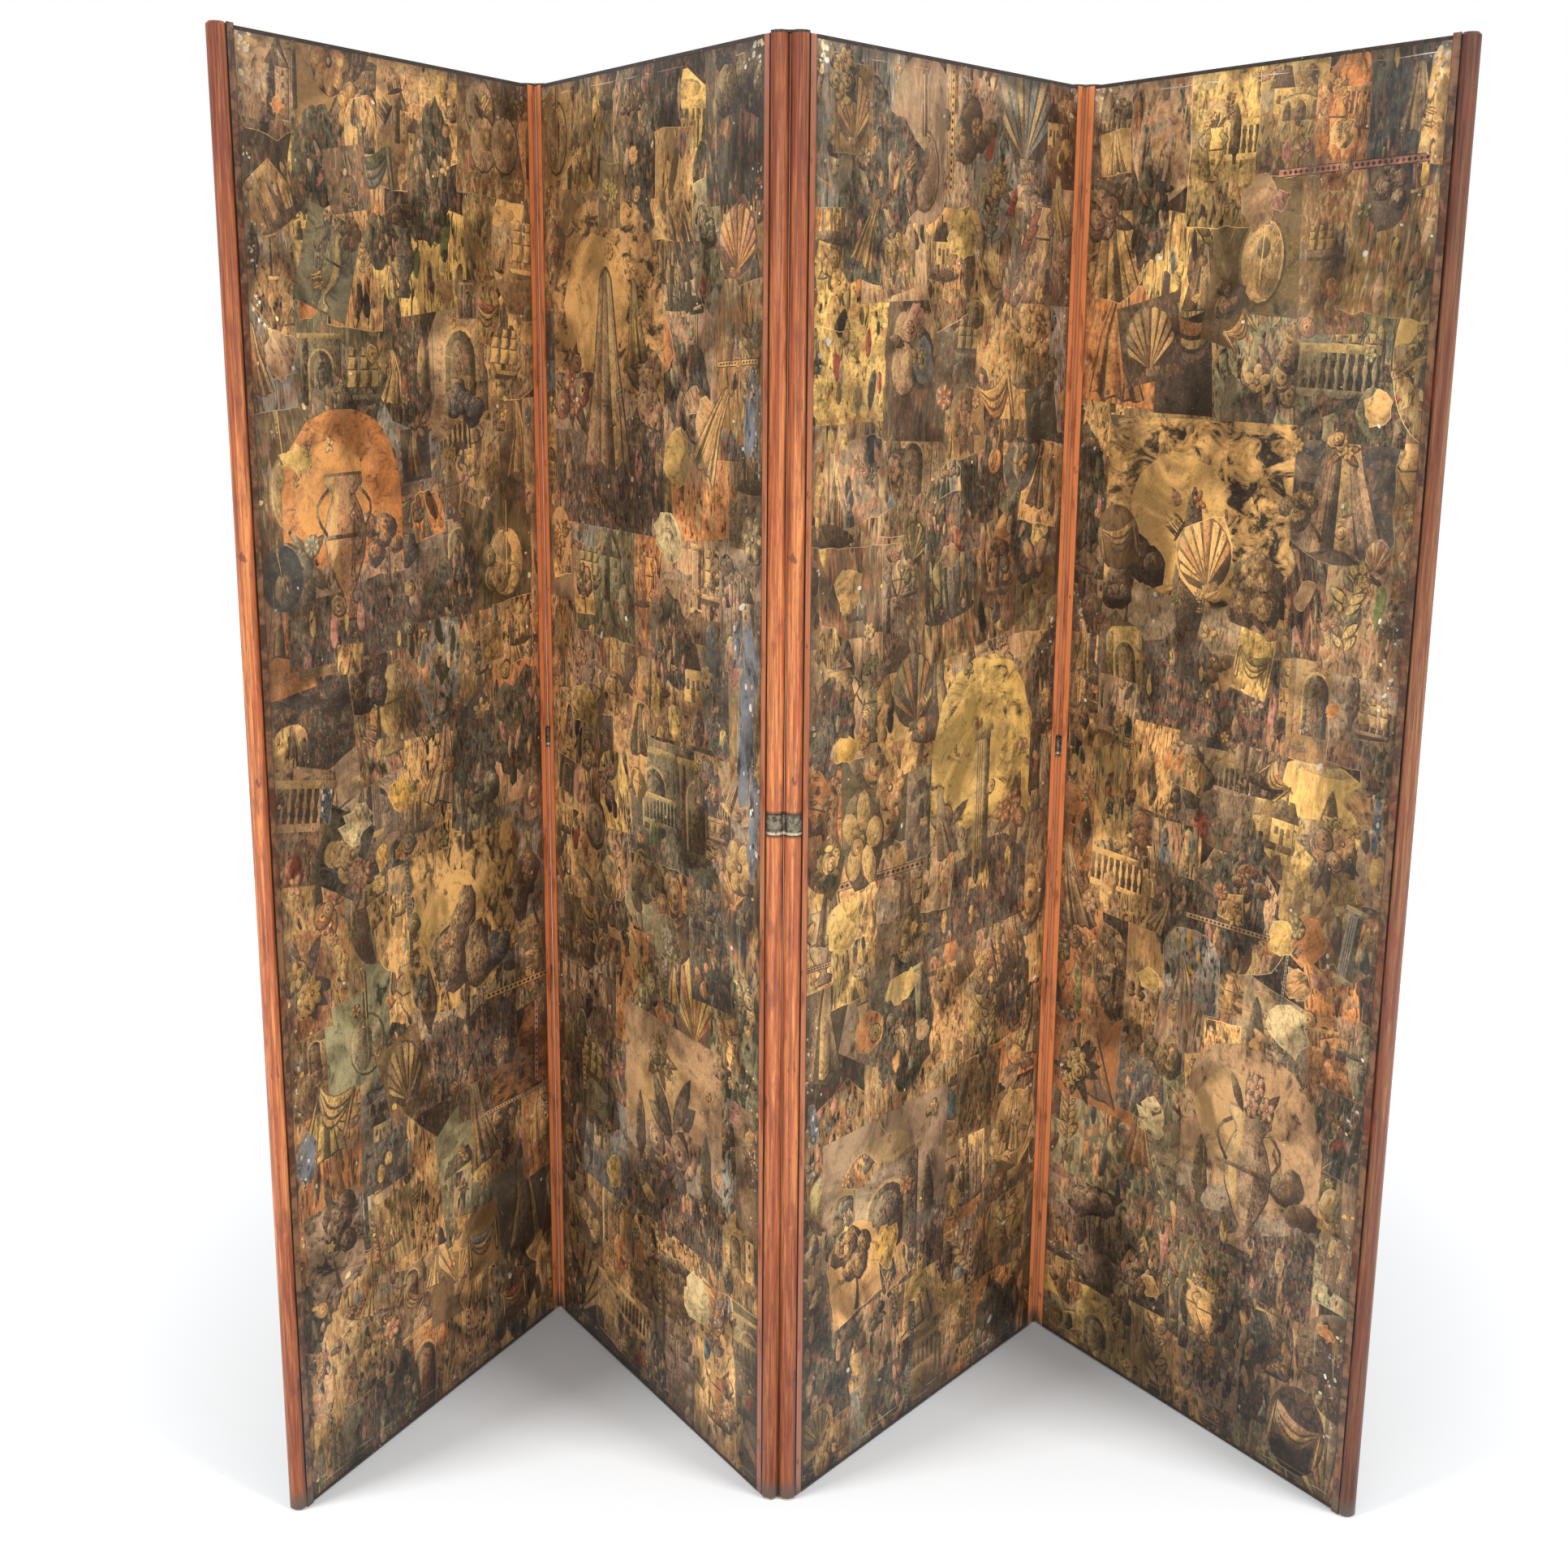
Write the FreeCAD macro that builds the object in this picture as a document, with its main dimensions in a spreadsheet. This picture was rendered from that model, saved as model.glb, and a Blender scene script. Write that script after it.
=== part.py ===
import FreeCAD, Part
import os

import Sketcher
from FreeCAD import Placement, Rotation, Vector

# A decoupage folding screen. Four tall leaves stand in a zigzag: leaf 1 is the left one as seen
# from the front, and the ridge between leaves 2 and 3 points forward. Each leaf is a light mortised
# frame with papered canvas on both faces, a binding turned over its top and bottom edges, and a
# round-nosed moulding up each side. Neighbouring noses are joined by a double-pivot link hinge:
# a link at mid-height and a flat plate at either end, all turning on pins in the middle of the
# noses, so that the noses stay side by side at every angle.
# The frame has its origin on the floor under the middle of the screen, the front faces -Y and
# the height runs along +Z. All lengths are in millimetres and all angles in degrees.

# Driving dimensions, each written once
SIZES = {
    "leaf_height": 1780,
    "leaf_width": 606,
    "leaf_thickness": 22,
    "leaf_gap": 0.1,
    "fold_12": 120.6,
    "fold_23": 108.6,
    "fold_34": 107.3,
    "nose_step": 0.05,
    "quirk_width": 4,
    "lip_width": 11,
    "tongue_thickness": 7,
    "tongue_depth": 6,
    "nose_end_bevel": 3,
    "stile_width": 45,
    "rail_height": 50,
    "tenon_length": 30,
    "tenon_height": 32,
    "tenon_thickness": 7,
    "canvas_thickness": 0.8,
    "binding_thickness": 0.4,
    "binding_leg": 4,
    "link_height": 26,
    "link_rise": 7,
    "link_inset": 0.5,
    "plate_waist": 14,
    "plate_thickness": 2.5,
    "pin_radius": 2.5,
    "end_pin_reach": 25,
    "middle_pin_reach": 22,
    "fit_clearance": 0.1,
    "pin_clearance": 0.06,
    "running_clearance": 0.3,
    "cut_overrun": 5,
}

# Lengths worked out from the driving dimensions, as expressions on the sheet
HEIGHT = "Sizes.leaf_height"
NOSE = "(Sizes.leaf_thickness / 2 - Sizes.nose_step)"
FACE = "(Sizes.leaf_thickness / 2)"
PIN_SPACING = "(Sizes.leaf_thickness + Sizes.leaf_gap)"
PIN_OFFSET = f"(Sizes.leaf_width / 2 - {NOSE})"
LIP_BACK = "(Sizes.quirk_width + Sizes.lip_width)"
STILE_BACK = f"({PIN_OFFSET} - {LIP_BACK})"
FRAME_HALF = "(Sizes.leaf_thickness / 2 - Sizes.canvas_thickness - Sizes.binding_thickness)"
FRAME_FOOT = "(Sizes.plate_thickness + Sizes.binding_thickness)"
FRAME_HEIGHT = f"({HEIGHT} - 2 * {FRAME_FOOT})"
RAIL_SPAN = f"(2 * ({STILE_BACK} - Sizes.stile_width))"
LINK_RADIUS = f"({NOSE} - Sizes.link_inset)"
LINK_NECK = "(2 * (Sizes.quirk_width - Sizes.running_clearance))"
LINK_MIDDLE = f"({HEIGHT} / 2 + Sizes.link_rise)"
LINK_FOOT = f"({LINK_MIDDLE} - Sizes.link_height / 2)"
LINK_HEAD = f"({LINK_MIDDLE} + Sizes.link_height / 2)"
PIN_FOOT = f"({LINK_FOOT} - Sizes.middle_pin_reach)"
PIN_AXES = (f"(-{PIN_SPACING} / 2)", f"({PIN_SPACING} / 2)")
STUD_END = "(Sizes.plate_thickness + Sizes.end_pin_reach)"
BORE_RADIUS = "(Sizes.pin_radius + Sizes.pin_clearance)"

UPRIGHT = Vector(0, 0, 1)
ALONG = Vector(1, 0, 0)
HALF_TURN = 180
WHOLE_TURN = 360

doc = FreeCAD.newDocument("folding_screen")
sheet = doc.addObject("Spreadsheet::Sheet", "Sizes")
nodes = []


def fill_sheet():
    for row, (name, value) in enumerate(SIZES.items(), 1):
        sheet.set(f"A{row}", name)
        sheet.set(f"B{row}", str(value))
        sheet.setAlias(f"B{row}", name)
    doc.recompute()


def number(expression):
    return float(sheet.evalExpression(expression.replace("Sizes.", "")))


def new_body(name):
    body = doc.addObject("PartDesign::Body", name)
    body.Label = name
    body.AllowCompound = True
    nodes.append(body)
    return body


def new_sketch(body, name, role, start="0"):
    """A sketch on one of the body's own origin planes, moved along the plane's normal."""
    sketch = body.newObject("Sketcher::SketchObject", name)
    plane = [feature for feature in body.Origin.OriginFeatures if feature.Role == role][0]
    sketch.AttachmentSupport = [(plane, "")]
    sketch.MapMode = "FlatFace"
    if start != "0":
        sketch.setExpression(".AttachmentOffset.Base.z", start)
    return sketch


def bind(sketch, kind, geometry, point, expression):
    """Hold one coordinate of a sketch point at a length worked out from the sheet."""
    axis = {"DistanceX": -2, "DistanceY": -1}[kind]
    if expression == "0":
        sketch.addConstraint(Sketcher.Constraint("PointOnObject", geometry, point, axis))
        return
    length = number(expression)
    held = sketch.addConstraint(Sketcher.Constraint(kind, -1, 1, geometry, point, length))
    sketch.setExpression(f"Constraints[{held}]", expression)


def arc_between(start, end, centre, turn):
    """The arc from start to end about centre, turning counter-clockwise or clockwise."""
    if turn == "clockwise":
        start, end = end, start
    circle = Part.Circle(centre, UPRIGHT, (start - centre).Length)
    return Part.ArcOfCircle(circle, circle.parameter(start), circle.parameter(end))


def outline(sketch, corners):
    """A closed outline. A corner is (x, y), or (x, y, centre_x, centre_y, turn) before an arc."""
    places = [Vector(number(corner[0]), number(corner[1]), 0) for corner in corners]
    ends = []
    for index, corner in enumerate(corners):
        start = places[index]
        end = places[(index + 1) % len(places)]
        if len(corner) == 2:
            side = sketch.addGeometry(Part.LineSegment(start, end))
            ends.append((side, 1, 2))
            continue
        centre = Vector(number(corner[2]), number(corner[3]), 0)
        side = sketch.addGeometry(arc_between(start, end, centre, corner[4]))
        ends.append((side, 2, 1) if corner[4] == "clockwise" else (side, 1, 2))
        if abs(end.y - start.y) >= abs(end.x - start.x):
            bind(sketch, "DistanceX", side, 3, corner[2])
        else:
            bind(sketch, "DistanceY", side, 3, corner[3])
    for index, corner in enumerate(corners):
        side, first, last = ends[index]
        following, following_first = ends[(index + 1) % len(ends)][:2]
        joined = Sketcher.Constraint("Coincident", side, last, following, following_first)
        sketch.addConstraint(joined)
        bind(sketch, "DistanceX", side, first, corner[0])
        bind(sketch, "DistanceY", side, first, corner[1])


def rectangle(sketch, left, right, low, high):
    outline(sketch, [(left, low), (right, low), (right, high), (left, high)])


def circle(sketch, x, y, radius):
    centre = Vector(number(x), number(y), 0)
    ring = sketch.addGeometry(Part.Circle(centre, UPRIGHT, number(radius)))
    bind(sketch, "DistanceX", ring, 3, x)
    bind(sketch, "DistanceY", ring, 3, y)
    held = sketch.addConstraint(Sketcher.Constraint("Radius", ring, number(radius)))
    sketch.setExpression(f"Constraints[{held}]", radius)


def pad(body, sketch, length, both_ways=False):
    feature = body.newObject("PartDesign::Pad", sketch.Name + "_pad")
    feature.Profile = sketch
    feature.SideType = "Symmetric" if both_ways else "One side"
    feature.setExpression("Length", length)
    return feature


def turned_cut(body, sketch):
    """Cut away what the sketch sweeps in a whole turn about the body's upright axis."""
    feature = body.newObject("PartDesign::Groove", sketch.Name + "_cut")
    feature.Profile = sketch
    feature.ReferenceAxis = (sketch, ["V_Axis"])
    feature.Angle = WHOLE_TURN
    return feature


# Frame of one leaf: stiles with a ploughed groove and three mortises, rails with a tenon each end

def stile(name):
    """A stile; X runs from its inner face to the face that takes the moulding's tongue."""
    body = new_body(name)
    section = new_sketch(body, name + "_section", "XY_Plane", FRAME_FOOT)
    groove_half = "(Sizes.tongue_thickness / 2 + Sizes.fit_clearance)"
    groove_floor = "(Sizes.stile_width - Sizes.tongue_depth - Sizes.fit_clearance)"
    outline(section, [
        ("0", f"-{FRAME_HALF}"),
        ("Sizes.stile_width", f"-{FRAME_HALF}"),
        ("Sizes.stile_width", f"-{groove_half}"),
        (groove_floor, f"-{groove_half}"),
        (groove_floor, groove_half),
        ("Sizes.stile_width", groove_half),
        ("Sizes.stile_width", FRAME_HALF),
        ("0", FRAME_HALF),
    ])
    pad(body, section, FRAME_HEIGHT)
    mortises = new_sketch(body, name + "_mortises", "YZ_Plane")
    mortise_half = "(Sizes.tenon_thickness / 2 + Sizes.fit_clearance)"
    mortise_rise = "(Sizes.tenon_height / 2 + Sizes.fit_clearance)"
    for middle in rail_middles():
        low = f"({middle} - {mortise_rise})"
        high = f"({middle} + {mortise_rise})"
        rectangle(mortises, f"-{mortise_half}", mortise_half, low, high)
    cut = body.newObject("PartDesign::Pocket", mortises.Name + "_cut")
    cut.Profile = mortises
    cut.Reversed = True
    cut.setExpression("Length", "Sizes.tenon_length + Sizes.fit_clearance")


def rail_middles():
    """Heights of the middles of the bottom, middle and top rails."""
    low = f"({FRAME_FOOT} + Sizes.rail_height / 2)"
    return [low, f"({HEIGHT} / 2)", f"({HEIGHT} - {low})"]


def rail(name, middle):
    """A rail between the stiles, with a centred tenon at each end."""
    body = new_body(name)
    board = new_sketch(body, name + "_board", "XZ_Plane")
    half_span = f"({RAIL_SPAN} / 2)"
    low = f"({middle} - Sizes.rail_height / 2)"
    high = f"({middle} + Sizes.rail_height / 2)"
    rectangle(board, f"-{half_span}", half_span, low, high)
    pad(body, board, f"2 * {FRAME_HALF}", both_ways=True)
    tenons = new_sketch(body, name + "_tenons", "XZ_Plane")
    tenon_end = f"({half_span} + Sizes.tenon_length)"
    tenon_low = f"({middle} - Sizes.tenon_height / 2)"
    tenon_high = f"({middle} + Sizes.tenon_height / 2)"
    rectangle(tenons, f"-{tenon_end}", tenon_end, tenon_low, tenon_high)
    pad(body, tenons, "Sizes.tenon_thickness", both_ways=True)


# Skin of one leaf: canvas on both faces and a binding turned over each end

def canvas(name):
    """Papered canvas on the front of the frame, between the lips of the mouldings."""
    body = new_body(name)
    sheet_outline = new_sketch(body, name + "_outline", "XZ_Plane", FRAME_HALF)
    top = f"({HEIGHT} - {FRAME_FOOT})"
    rectangle(sheet_outline, f"-{STILE_BACK}", STILE_BACK, FRAME_FOOT, top)
    pad(body, sheet_outline, "Sizes.canvas_thickness")


def binding(name):
    """A strip folded down over both faces at the top of a leaf; Z is zero at the leaf's end."""
    body = new_body(name)
    fold = new_sketch(body, name + "_fold", "YZ_Plane")
    inner = f"({FACE} - Sizes.binding_thickness)"
    leg_end = "-(Sizes.plate_thickness + Sizes.binding_thickness + Sizes.binding_leg)"
    outline(fold, [
        (f"-{FACE}", leg_end),
        (f"-{inner}", leg_end),
        (f"-{inner}", f"-{FRAME_FOOT}"),
        (inner, f"-{FRAME_FOOT}"),
        (inner, leg_end),
        (FACE, leg_end),
        (FACE, "-Sizes.plate_thickness"),
        (f"-{FACE}", "-Sizes.plate_thickness"),
    ])
    pad(body, fold, f"2 * {STILE_BACK}", both_ways=True)


# Edge mouldings: a round nose with a quirk and a flat lip on each side, and a tongue behind

def moulding_blank(name, foot, length):
    """The straight moulding; the axis of its nose is Z and the nose points along +X."""
    body = new_body(name)
    section = new_sketch(body, name + "_section", "XY_Plane", foot)
    quirk_floor = f"(sqrt({NOSE} ^ 2 - Sizes.quirk_width ^ 2))"
    outline(section, [
        (f"-{LIP_BACK}", f"-{FACE}"),
        ("-Sizes.quirk_width", f"-{FACE}"),
        ("-Sizes.quirk_width", f"-{quirk_floor}", "0", "0", "counter-clockwise"),
        ("-Sizes.quirk_width", quirk_floor),
        ("-Sizes.quirk_width", FACE),
        (f"-{LIP_BACK}", FACE),
    ])
    pad(body, section, length)
    tongue = new_sketch(body, name + "_tongue", "XY_Plane", FRAME_FOOT)
    tongue_half = "(Sizes.tongue_thickness / 2)"
    tongue_back = f"({LIP_BACK} + Sizes.tongue_depth)"
    rectangle(tongue, f"-{tongue_back}", f"-{LIP_BACK}", f"-{tongue_half}", tongue_half)
    pad(body, tongue, FRAME_HEIGHT)
    return body


def joint_moulding(name):
    """A moulding at a joint: the nose is cut away for the link and bored for the pins."""
    foot = "(Sizes.plate_thickness + Sizes.running_clearance)"
    body = moulding_blank(name, foot, f"{HEIGHT} - 2 * {foot}")
    bores = new_sketch(body, name + "_bores", "XZ_Plane")
    end_floor = f"({STUD_END} + Sizes.running_clearance)"
    rectangle(bores, "0", BORE_RADIUS, f"({foot} - Sizes.cut_overrun)", end_floor)
    top_floor = f"({HEIGHT} - {end_floor})"
    top_mouth = f"({HEIGHT} - {foot} + Sizes.cut_overrun)"
    rectangle(bores, "0", BORE_RADIUS, top_floor, top_mouth)
    notch_radius = f"({NOSE} + Sizes.fit_clearance)"
    notch_low = f"({LINK_FOOT} - Sizes.running_clearance)"
    notch_high = f"({LINK_HEAD} + Sizes.running_clearance)"
    pin_low = f"({PIN_FOOT} - Sizes.running_clearance)"
    pin_lifted = f"({notch_high} + Sizes.link_height + 2 * Sizes.middle_pin_reach)"
    outline(bores, [
        ("0", pin_low),
        (BORE_RADIUS, pin_low),
        (BORE_RADIUS, notch_low),
        (notch_radius, notch_low),
        (notch_radius, notch_high),
        (BORE_RADIUS, notch_high),
        (BORE_RADIUS, pin_lifted),
        ("0", pin_lifted),
    ])
    turned_cut(body, bores)


def outer_moulding(name):
    """The moulding on a free edge: full height, with both ends of its nose bevelled."""
    body = moulding_blank(name, "0", HEIGHT)
    ends = new_sketch(body, name + "_bevelled_ends", "XZ_Plane")
    shoulder = f"({NOSE} - Sizes.nose_end_bevel)"
    rim = f"({NOSE} + Sizes.fit_clearance)"
    top_bevel = f"({HEIGHT} - Sizes.nose_end_bevel)"
    beyond = f"({HEIGHT} + Sizes.cut_overrun)"
    outline(ends, [
        (shoulder, HEIGHT),
        (NOSE, top_bevel),
        (rim, top_bevel),
        (rim, beyond),
        (shoulder, beyond),
    ])
    outline(ends, [
        (shoulder, "-Sizes.cut_overrun"),
        (rim, "-Sizes.cut_overrun"),
        (rim, "Sizes.nose_end_bevel"),
        (NOSE, "Sizes.nose_end_bevel"),
        (shoulder, "0"),
    ])
    turned_cut(body, ends)


# Link hinges: waisted plates at the ends and a link at mid-height whose neck passes the lips

def waisted_outline(sketch, waist):
    """Two rounds on the pin axes joined by a narrower waist."""
    half = f"({waist} / 2)"
    neck = f"({PIN_SPACING} / 2 - sqrt({LINK_RADIUS} ^ 2 - {half} ^ 2))"
    outline(sketch, [
        (f"-{neck}", f"-{half}"),
        (neck, f"-{half}", PIN_AXES[1], "0", "counter-clockwise"),
        (neck, half),
        (f"-{neck}", half, PIN_AXES[0], "0", "counter-clockwise"),
    ])


def pin_circles(sketch):
    for axis in PIN_AXES:
        circle(sketch, axis, "0", "Sizes.pin_radius")


def end_plates(name):
    """Two cast plates, each with a pair of studs: one stands on the floor, one caps the joint."""
    body = new_body(name)
    plate_levels = {
        "foot": ("0", "Sizes.plate_thickness"),
        "head": (f"({HEIGHT} - Sizes.plate_thickness)", f"({HEIGHT} - {STUD_END})"),
    }
    for end, (plate_level, stud_level) in plate_levels.items():
        plate = new_sketch(body, f"{name}_{end}_plate", "XY_Plane", plate_level)
        waisted_outline(plate, "Sizes.plate_waist")
        pad(body, plate, "Sizes.plate_thickness")
        studs = new_sketch(body, f"{name}_{end}_studs", "XY_Plane", stud_level)
        pin_circles(studs)
        pad(body, studs, "Sizes.end_pin_reach")


def middle_link(name):
    """The block between the two noses, bored right through for its pins."""
    body = new_body(name)
    block = new_sketch(body, name + "_block", "XY_Plane", LINK_FOOT)
    waisted_outline(block, LINK_NECK)
    pin_circles(block)
    pad(body, block, "Sizes.link_height")


def pivot_pins(name):
    """The link's two pins, which reach into the noses above and below it."""
    body = new_body(name)
    pins = new_sketch(body, name + "_ends", "XY_Plane", PIN_FOOT)
    pin_circles(pins)
    pad(body, pins, "Sizes.link_height + 2 * Sizes.middle_pin_reach")


# Where the leaves and links stand

def stand_in_zigzag():
    """Walk along the screen from its left edge, and return where each leaf and link stands."""
    leaf_length = number(f"2 * {PIN_OFFSET}")
    link_length = number(PIN_SPACING)
    folds = {name: SIZES["fold_" + name] for name in ("12", "23", "34")}
    heading = folds["12"] - folds["23"] / 2
    steps = []
    for leaf in (1, 2, 3, 4):
        steps.append((f"leaf_{leaf}", leaf_length, heading))
        if leaf == 4:
            break
        joint = f"{leaf}{leaf + 1}"
        turn = -folds[joint] if joint != "23" else folds[joint]
        steps.append((f"hinge_{joint}", link_length, heading + turn / 2))
        heading += turn
    walked = [Vector(0, 0, 0)]
    for name, length, heading in steps:
        forward = Rotation(UPRIGHT, heading).multVec(ALONG)
        walked.append(walked[-1] + forward * length)
    box = FreeCAD.BoundBox()
    for pin in walked:
        box.add(pin)
    stands = {}
    for index, (name, length, heading) in enumerate(steps):
        middle = (walked[index] + walked[index + 1]) / 2 - box.Center
        stands[name] = Placement(middle, Rotation(UPRIGHT, heading))
    return stands


def put(body, stand, x=0, height=0, turn=0, axis=UPRIGHT):
    """Place a body in its leaf or link, turned about its own axis first."""
    body.Placement = stand * Placement(Vector(x, 0, height), Rotation(axis, turn))


def build_leaf(leaf, stand):
    name = f"leaf_{leaf}"
    stile_at = number(f"{STILE_BACK} - Sizes.stile_width")
    nose_at = number(PIN_OFFSET)
    for side, turn, sense in (("left", HALF_TURN, -1), ("right", 0, 1)):
        stile(f"{name}_{side}_stile")
        put(nodes[-1], stand, x=sense * stile_at, turn=turn)
        free_edge = (leaf, side) in ((1, "left"), (4, "right"))
        make_moulding = outer_moulding if free_edge else joint_moulding
        make_moulding(f"{name}_{side}_moulding")
        put(nodes[-1], stand, x=sense * nose_at, turn=turn)
    for place, middle in zip(("bottom", "middle", "top"), rail_middles()):
        rail(f"{name}_{place}_rail", middle)
        put(nodes[-1], stand)
    for face, turn in (("front", 0), ("back", HALF_TURN)):
        canvas(f"{name}_{face}_canvas")
        put(nodes[-1], stand, turn=turn)
    binding(f"{name}_top_binding")
    put(nodes[-1], stand, height=number(HEIGHT))
    binding(f"{name}_bottom_binding")
    put(nodes[-1], stand, turn=HALF_TURN, axis=ALONG)


def build_hinge(joint, stand):
    for make, piece in ((end_plates, "end_plates"), (middle_link, "middle_link"),
                        (pivot_pins, "pivot_pins")):
        make(f"hinge_{joint}_{piece}")
        put(nodes[-1], stand)


def check_model():
    """Stop before anything is written if an object failed or a piece has no sound shape."""
    for item in doc.Objects:
        if "Invalid" in item.State or "Error" in item.State:
            raise RuntimeError(f"{item.Name} failed: {item.State}")
    for body in nodes:
        if body.Shape.isNull() or not body.Shape.isValid() or not body.Shape.Solids:
            raise RuntimeError(f"{body.Label} has no sound shape")


def write_parts():
    os.makedirs("parts", exist_ok=True)
    for body in nodes:
        body.Shape.exportStep(f"parts/{body.Label}.step")
        print(body.Label, len(body.Shape.Solids), round(body.Shape.Volume))


fill_sheet()
stands = stand_in_zigzag()
for leaf in (1, 2, 3, 4):
    build_leaf(leaf, stands[f"leaf_{leaf}"])
for joint in ("12", "23", "34"):
    build_hinge(joint, stands[f"hinge_{joint}"])
doc.recompute()
check_model()
write_parts()
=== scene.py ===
import math
import random

import bpy
import numpy as np
from mathutils import Matrix, Vector
from mathutils.geometry import delaunay_2d_cdt


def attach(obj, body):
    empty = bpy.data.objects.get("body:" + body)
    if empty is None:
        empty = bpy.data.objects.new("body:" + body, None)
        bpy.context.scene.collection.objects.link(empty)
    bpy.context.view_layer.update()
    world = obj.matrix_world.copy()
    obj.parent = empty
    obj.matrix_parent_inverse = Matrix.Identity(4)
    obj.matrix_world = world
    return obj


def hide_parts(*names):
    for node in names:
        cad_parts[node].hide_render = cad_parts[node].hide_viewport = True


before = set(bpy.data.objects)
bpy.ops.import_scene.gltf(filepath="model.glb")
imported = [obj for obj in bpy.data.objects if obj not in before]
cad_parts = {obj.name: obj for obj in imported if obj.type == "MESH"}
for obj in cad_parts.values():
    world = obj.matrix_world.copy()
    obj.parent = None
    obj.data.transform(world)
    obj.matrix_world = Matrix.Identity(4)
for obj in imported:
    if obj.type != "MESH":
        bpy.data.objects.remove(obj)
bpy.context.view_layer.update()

# A decoupage folding screen of four leaves, in metres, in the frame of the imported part: the floor is
# z = 0, the front faces -Y, and leaf 1 is the left one as seen from the front.
LEAVES = (1, 2, 3, 4)
LEAF_HEIGHT = 1.78
PIN_OFFSET = 0.29205        # from the middle of a leaf to the middle of its round nose
PIN_SPACING = 0.0221        # between the pins of two neighbouring leaves
FOLDS = (-120.6, 108.6, -107.3)
RIDGE = 2                   # the one fold that points forward, between leaves 2 and 3
LIP_EDGE = PIN_OFFSET - 0.004    # where the lip drops into the quirk beside the nose
CANVAS_HALF = LIP_EDGE - 0.011   # half the width of the papered face, between the lips of the mouldings
CANVAS_FOOT, CANVAS_HEAD = 0.0029, 1.7771
CANVAS_FACE = 0.0106        # from the middle of the leaf to its papered face
LINK_HEIGHT = 0.897         # the middle of the worn links
SLIVER = 5e-9   # area under which a face of the collage is too small to see and is left out


def srgb(red, green, blue):
    """A colour as seen, 0 to 255, as the shader wants it."""
    return tuple(((c / 255 + 0.055) / 1.055) ** 2.4 if c > 10 else c / 3294.6 for c in (red, green, blue))


# Tints of old paper and ink, as seen on the screen
AMBER, OCHRE, ORANGE = srgb(232, 178, 106), srgb(214, 160, 98), srgb(216, 138, 76)
STRAW, CREAM, TAN = srgb(236, 190, 106), srgb(240, 210, 150), srgb(196, 152, 108)
OLIVE, GREY, DUN = srgb(148, 138, 100), srgb(146, 140, 124), srgb(172, 138, 106)
BROWN, UMBER, SOOT = srgb(82, 66, 52), srgb(54, 46, 41), srgb(36, 35, 35)
SLATE, PINE = srgb(54, 58, 58), srgb(48, 52, 40)
RED, ROSE, GREEN = srgb(172, 70, 50), srgb(204, 136, 112), srgb(108, 118, 64)
TEAL, GOLD = srgb(104, 126, 122), srgb(236, 178, 80)
LINING, CHIP = srgb(118, 124, 130), srgb(222, 214, 196)


def blended(first, second, share):
    return tuple(a + (b - a) * share for a, b in zip(first, second))


def leaf_stands():
    """Where the middle of each leaf stands and how it is turned, walked along from the left edge."""
    heading = -FOLDS[0] - FOLDS[1] / 2
    place, walked = Vector((0, 0, 0)), [Vector((0, 0, 0))]
    middles = []
    for leaf in LEAVES:
        along = Vector((math.cos(math.radians(heading)), math.sin(math.radians(heading)), 0))
        middles.append((place + along * PIN_OFFSET, heading))
        place = place + along * (2 * PIN_OFFSET)
        walked.append(place)
        if leaf < LEAVES[-1]:
            fold = FOLDS[leaf - 1]
            half = math.radians(heading + fold / 2)
            place = place + Vector((math.cos(half), math.sin(half), 0)) * PIN_SPACING
            walked.append(place)
            heading += fold
    centre = Vector([(min(p[k] for p in walked) + max(p[k] for p in walked)) / 2 for k in range(3)])
    return {leaf: Matrix.Translation(m - centre) @ Matrix.Rotation(math.radians(h), 4, "Z")
            for leaf, (m, h) in zip(LEAVES, middles)}


STANDS = leaf_stands()


# Camera, floor and light

def set_camera():
    """The photograph's own view, solved from the corners of the leaves."""
    yaw, pitch, roll = math.radians(-2.88), math.radians(-13.32), math.radians(0.475)
    look = Vector((math.sin(yaw) * math.cos(pitch), math.cos(yaw) * math.cos(pitch), math.sin(pitch)))
    side = Vector((math.cos(yaw), -math.sin(yaw), 0))
    up = side.cross(look)
    right = side * math.cos(roll) + up * math.sin(roll)
    up = up * math.cos(roll) - side * math.sin(roll)
    data = bpy.data.cameras.new("camera")
    data.sensor_width, data.lens = 36.0, 44.21
    data.clip_end = 60
    camera = bpy.data.objects.new("camera", data)
    bpy.context.scene.collection.objects.link(camera)
    turn = Matrix((right, up, -look)).transposed()
    camera.matrix_world = Matrix.Translation((0.05217, -2.41169, 1.4675)) @ turn.to_4x4()
    bpy.context.scene.camera = camera


def add_lamp(name, place, aim, size, power):
    data = bpy.data.lights.new(name, "AREA")
    data.shape, data.size, data.size_y = "RECTANGLE", size[0], size[1]
    data.energy = power
    lamp = bpy.data.objects.new(name, data)
    bpy.context.scene.collection.objects.link(lamp)
    lamp.location = place
    lamp.rotation_euler = (Vector(aim) - Vector(place)).to_track_quat("-Z", "Y").to_euler()
    return lamp


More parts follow.
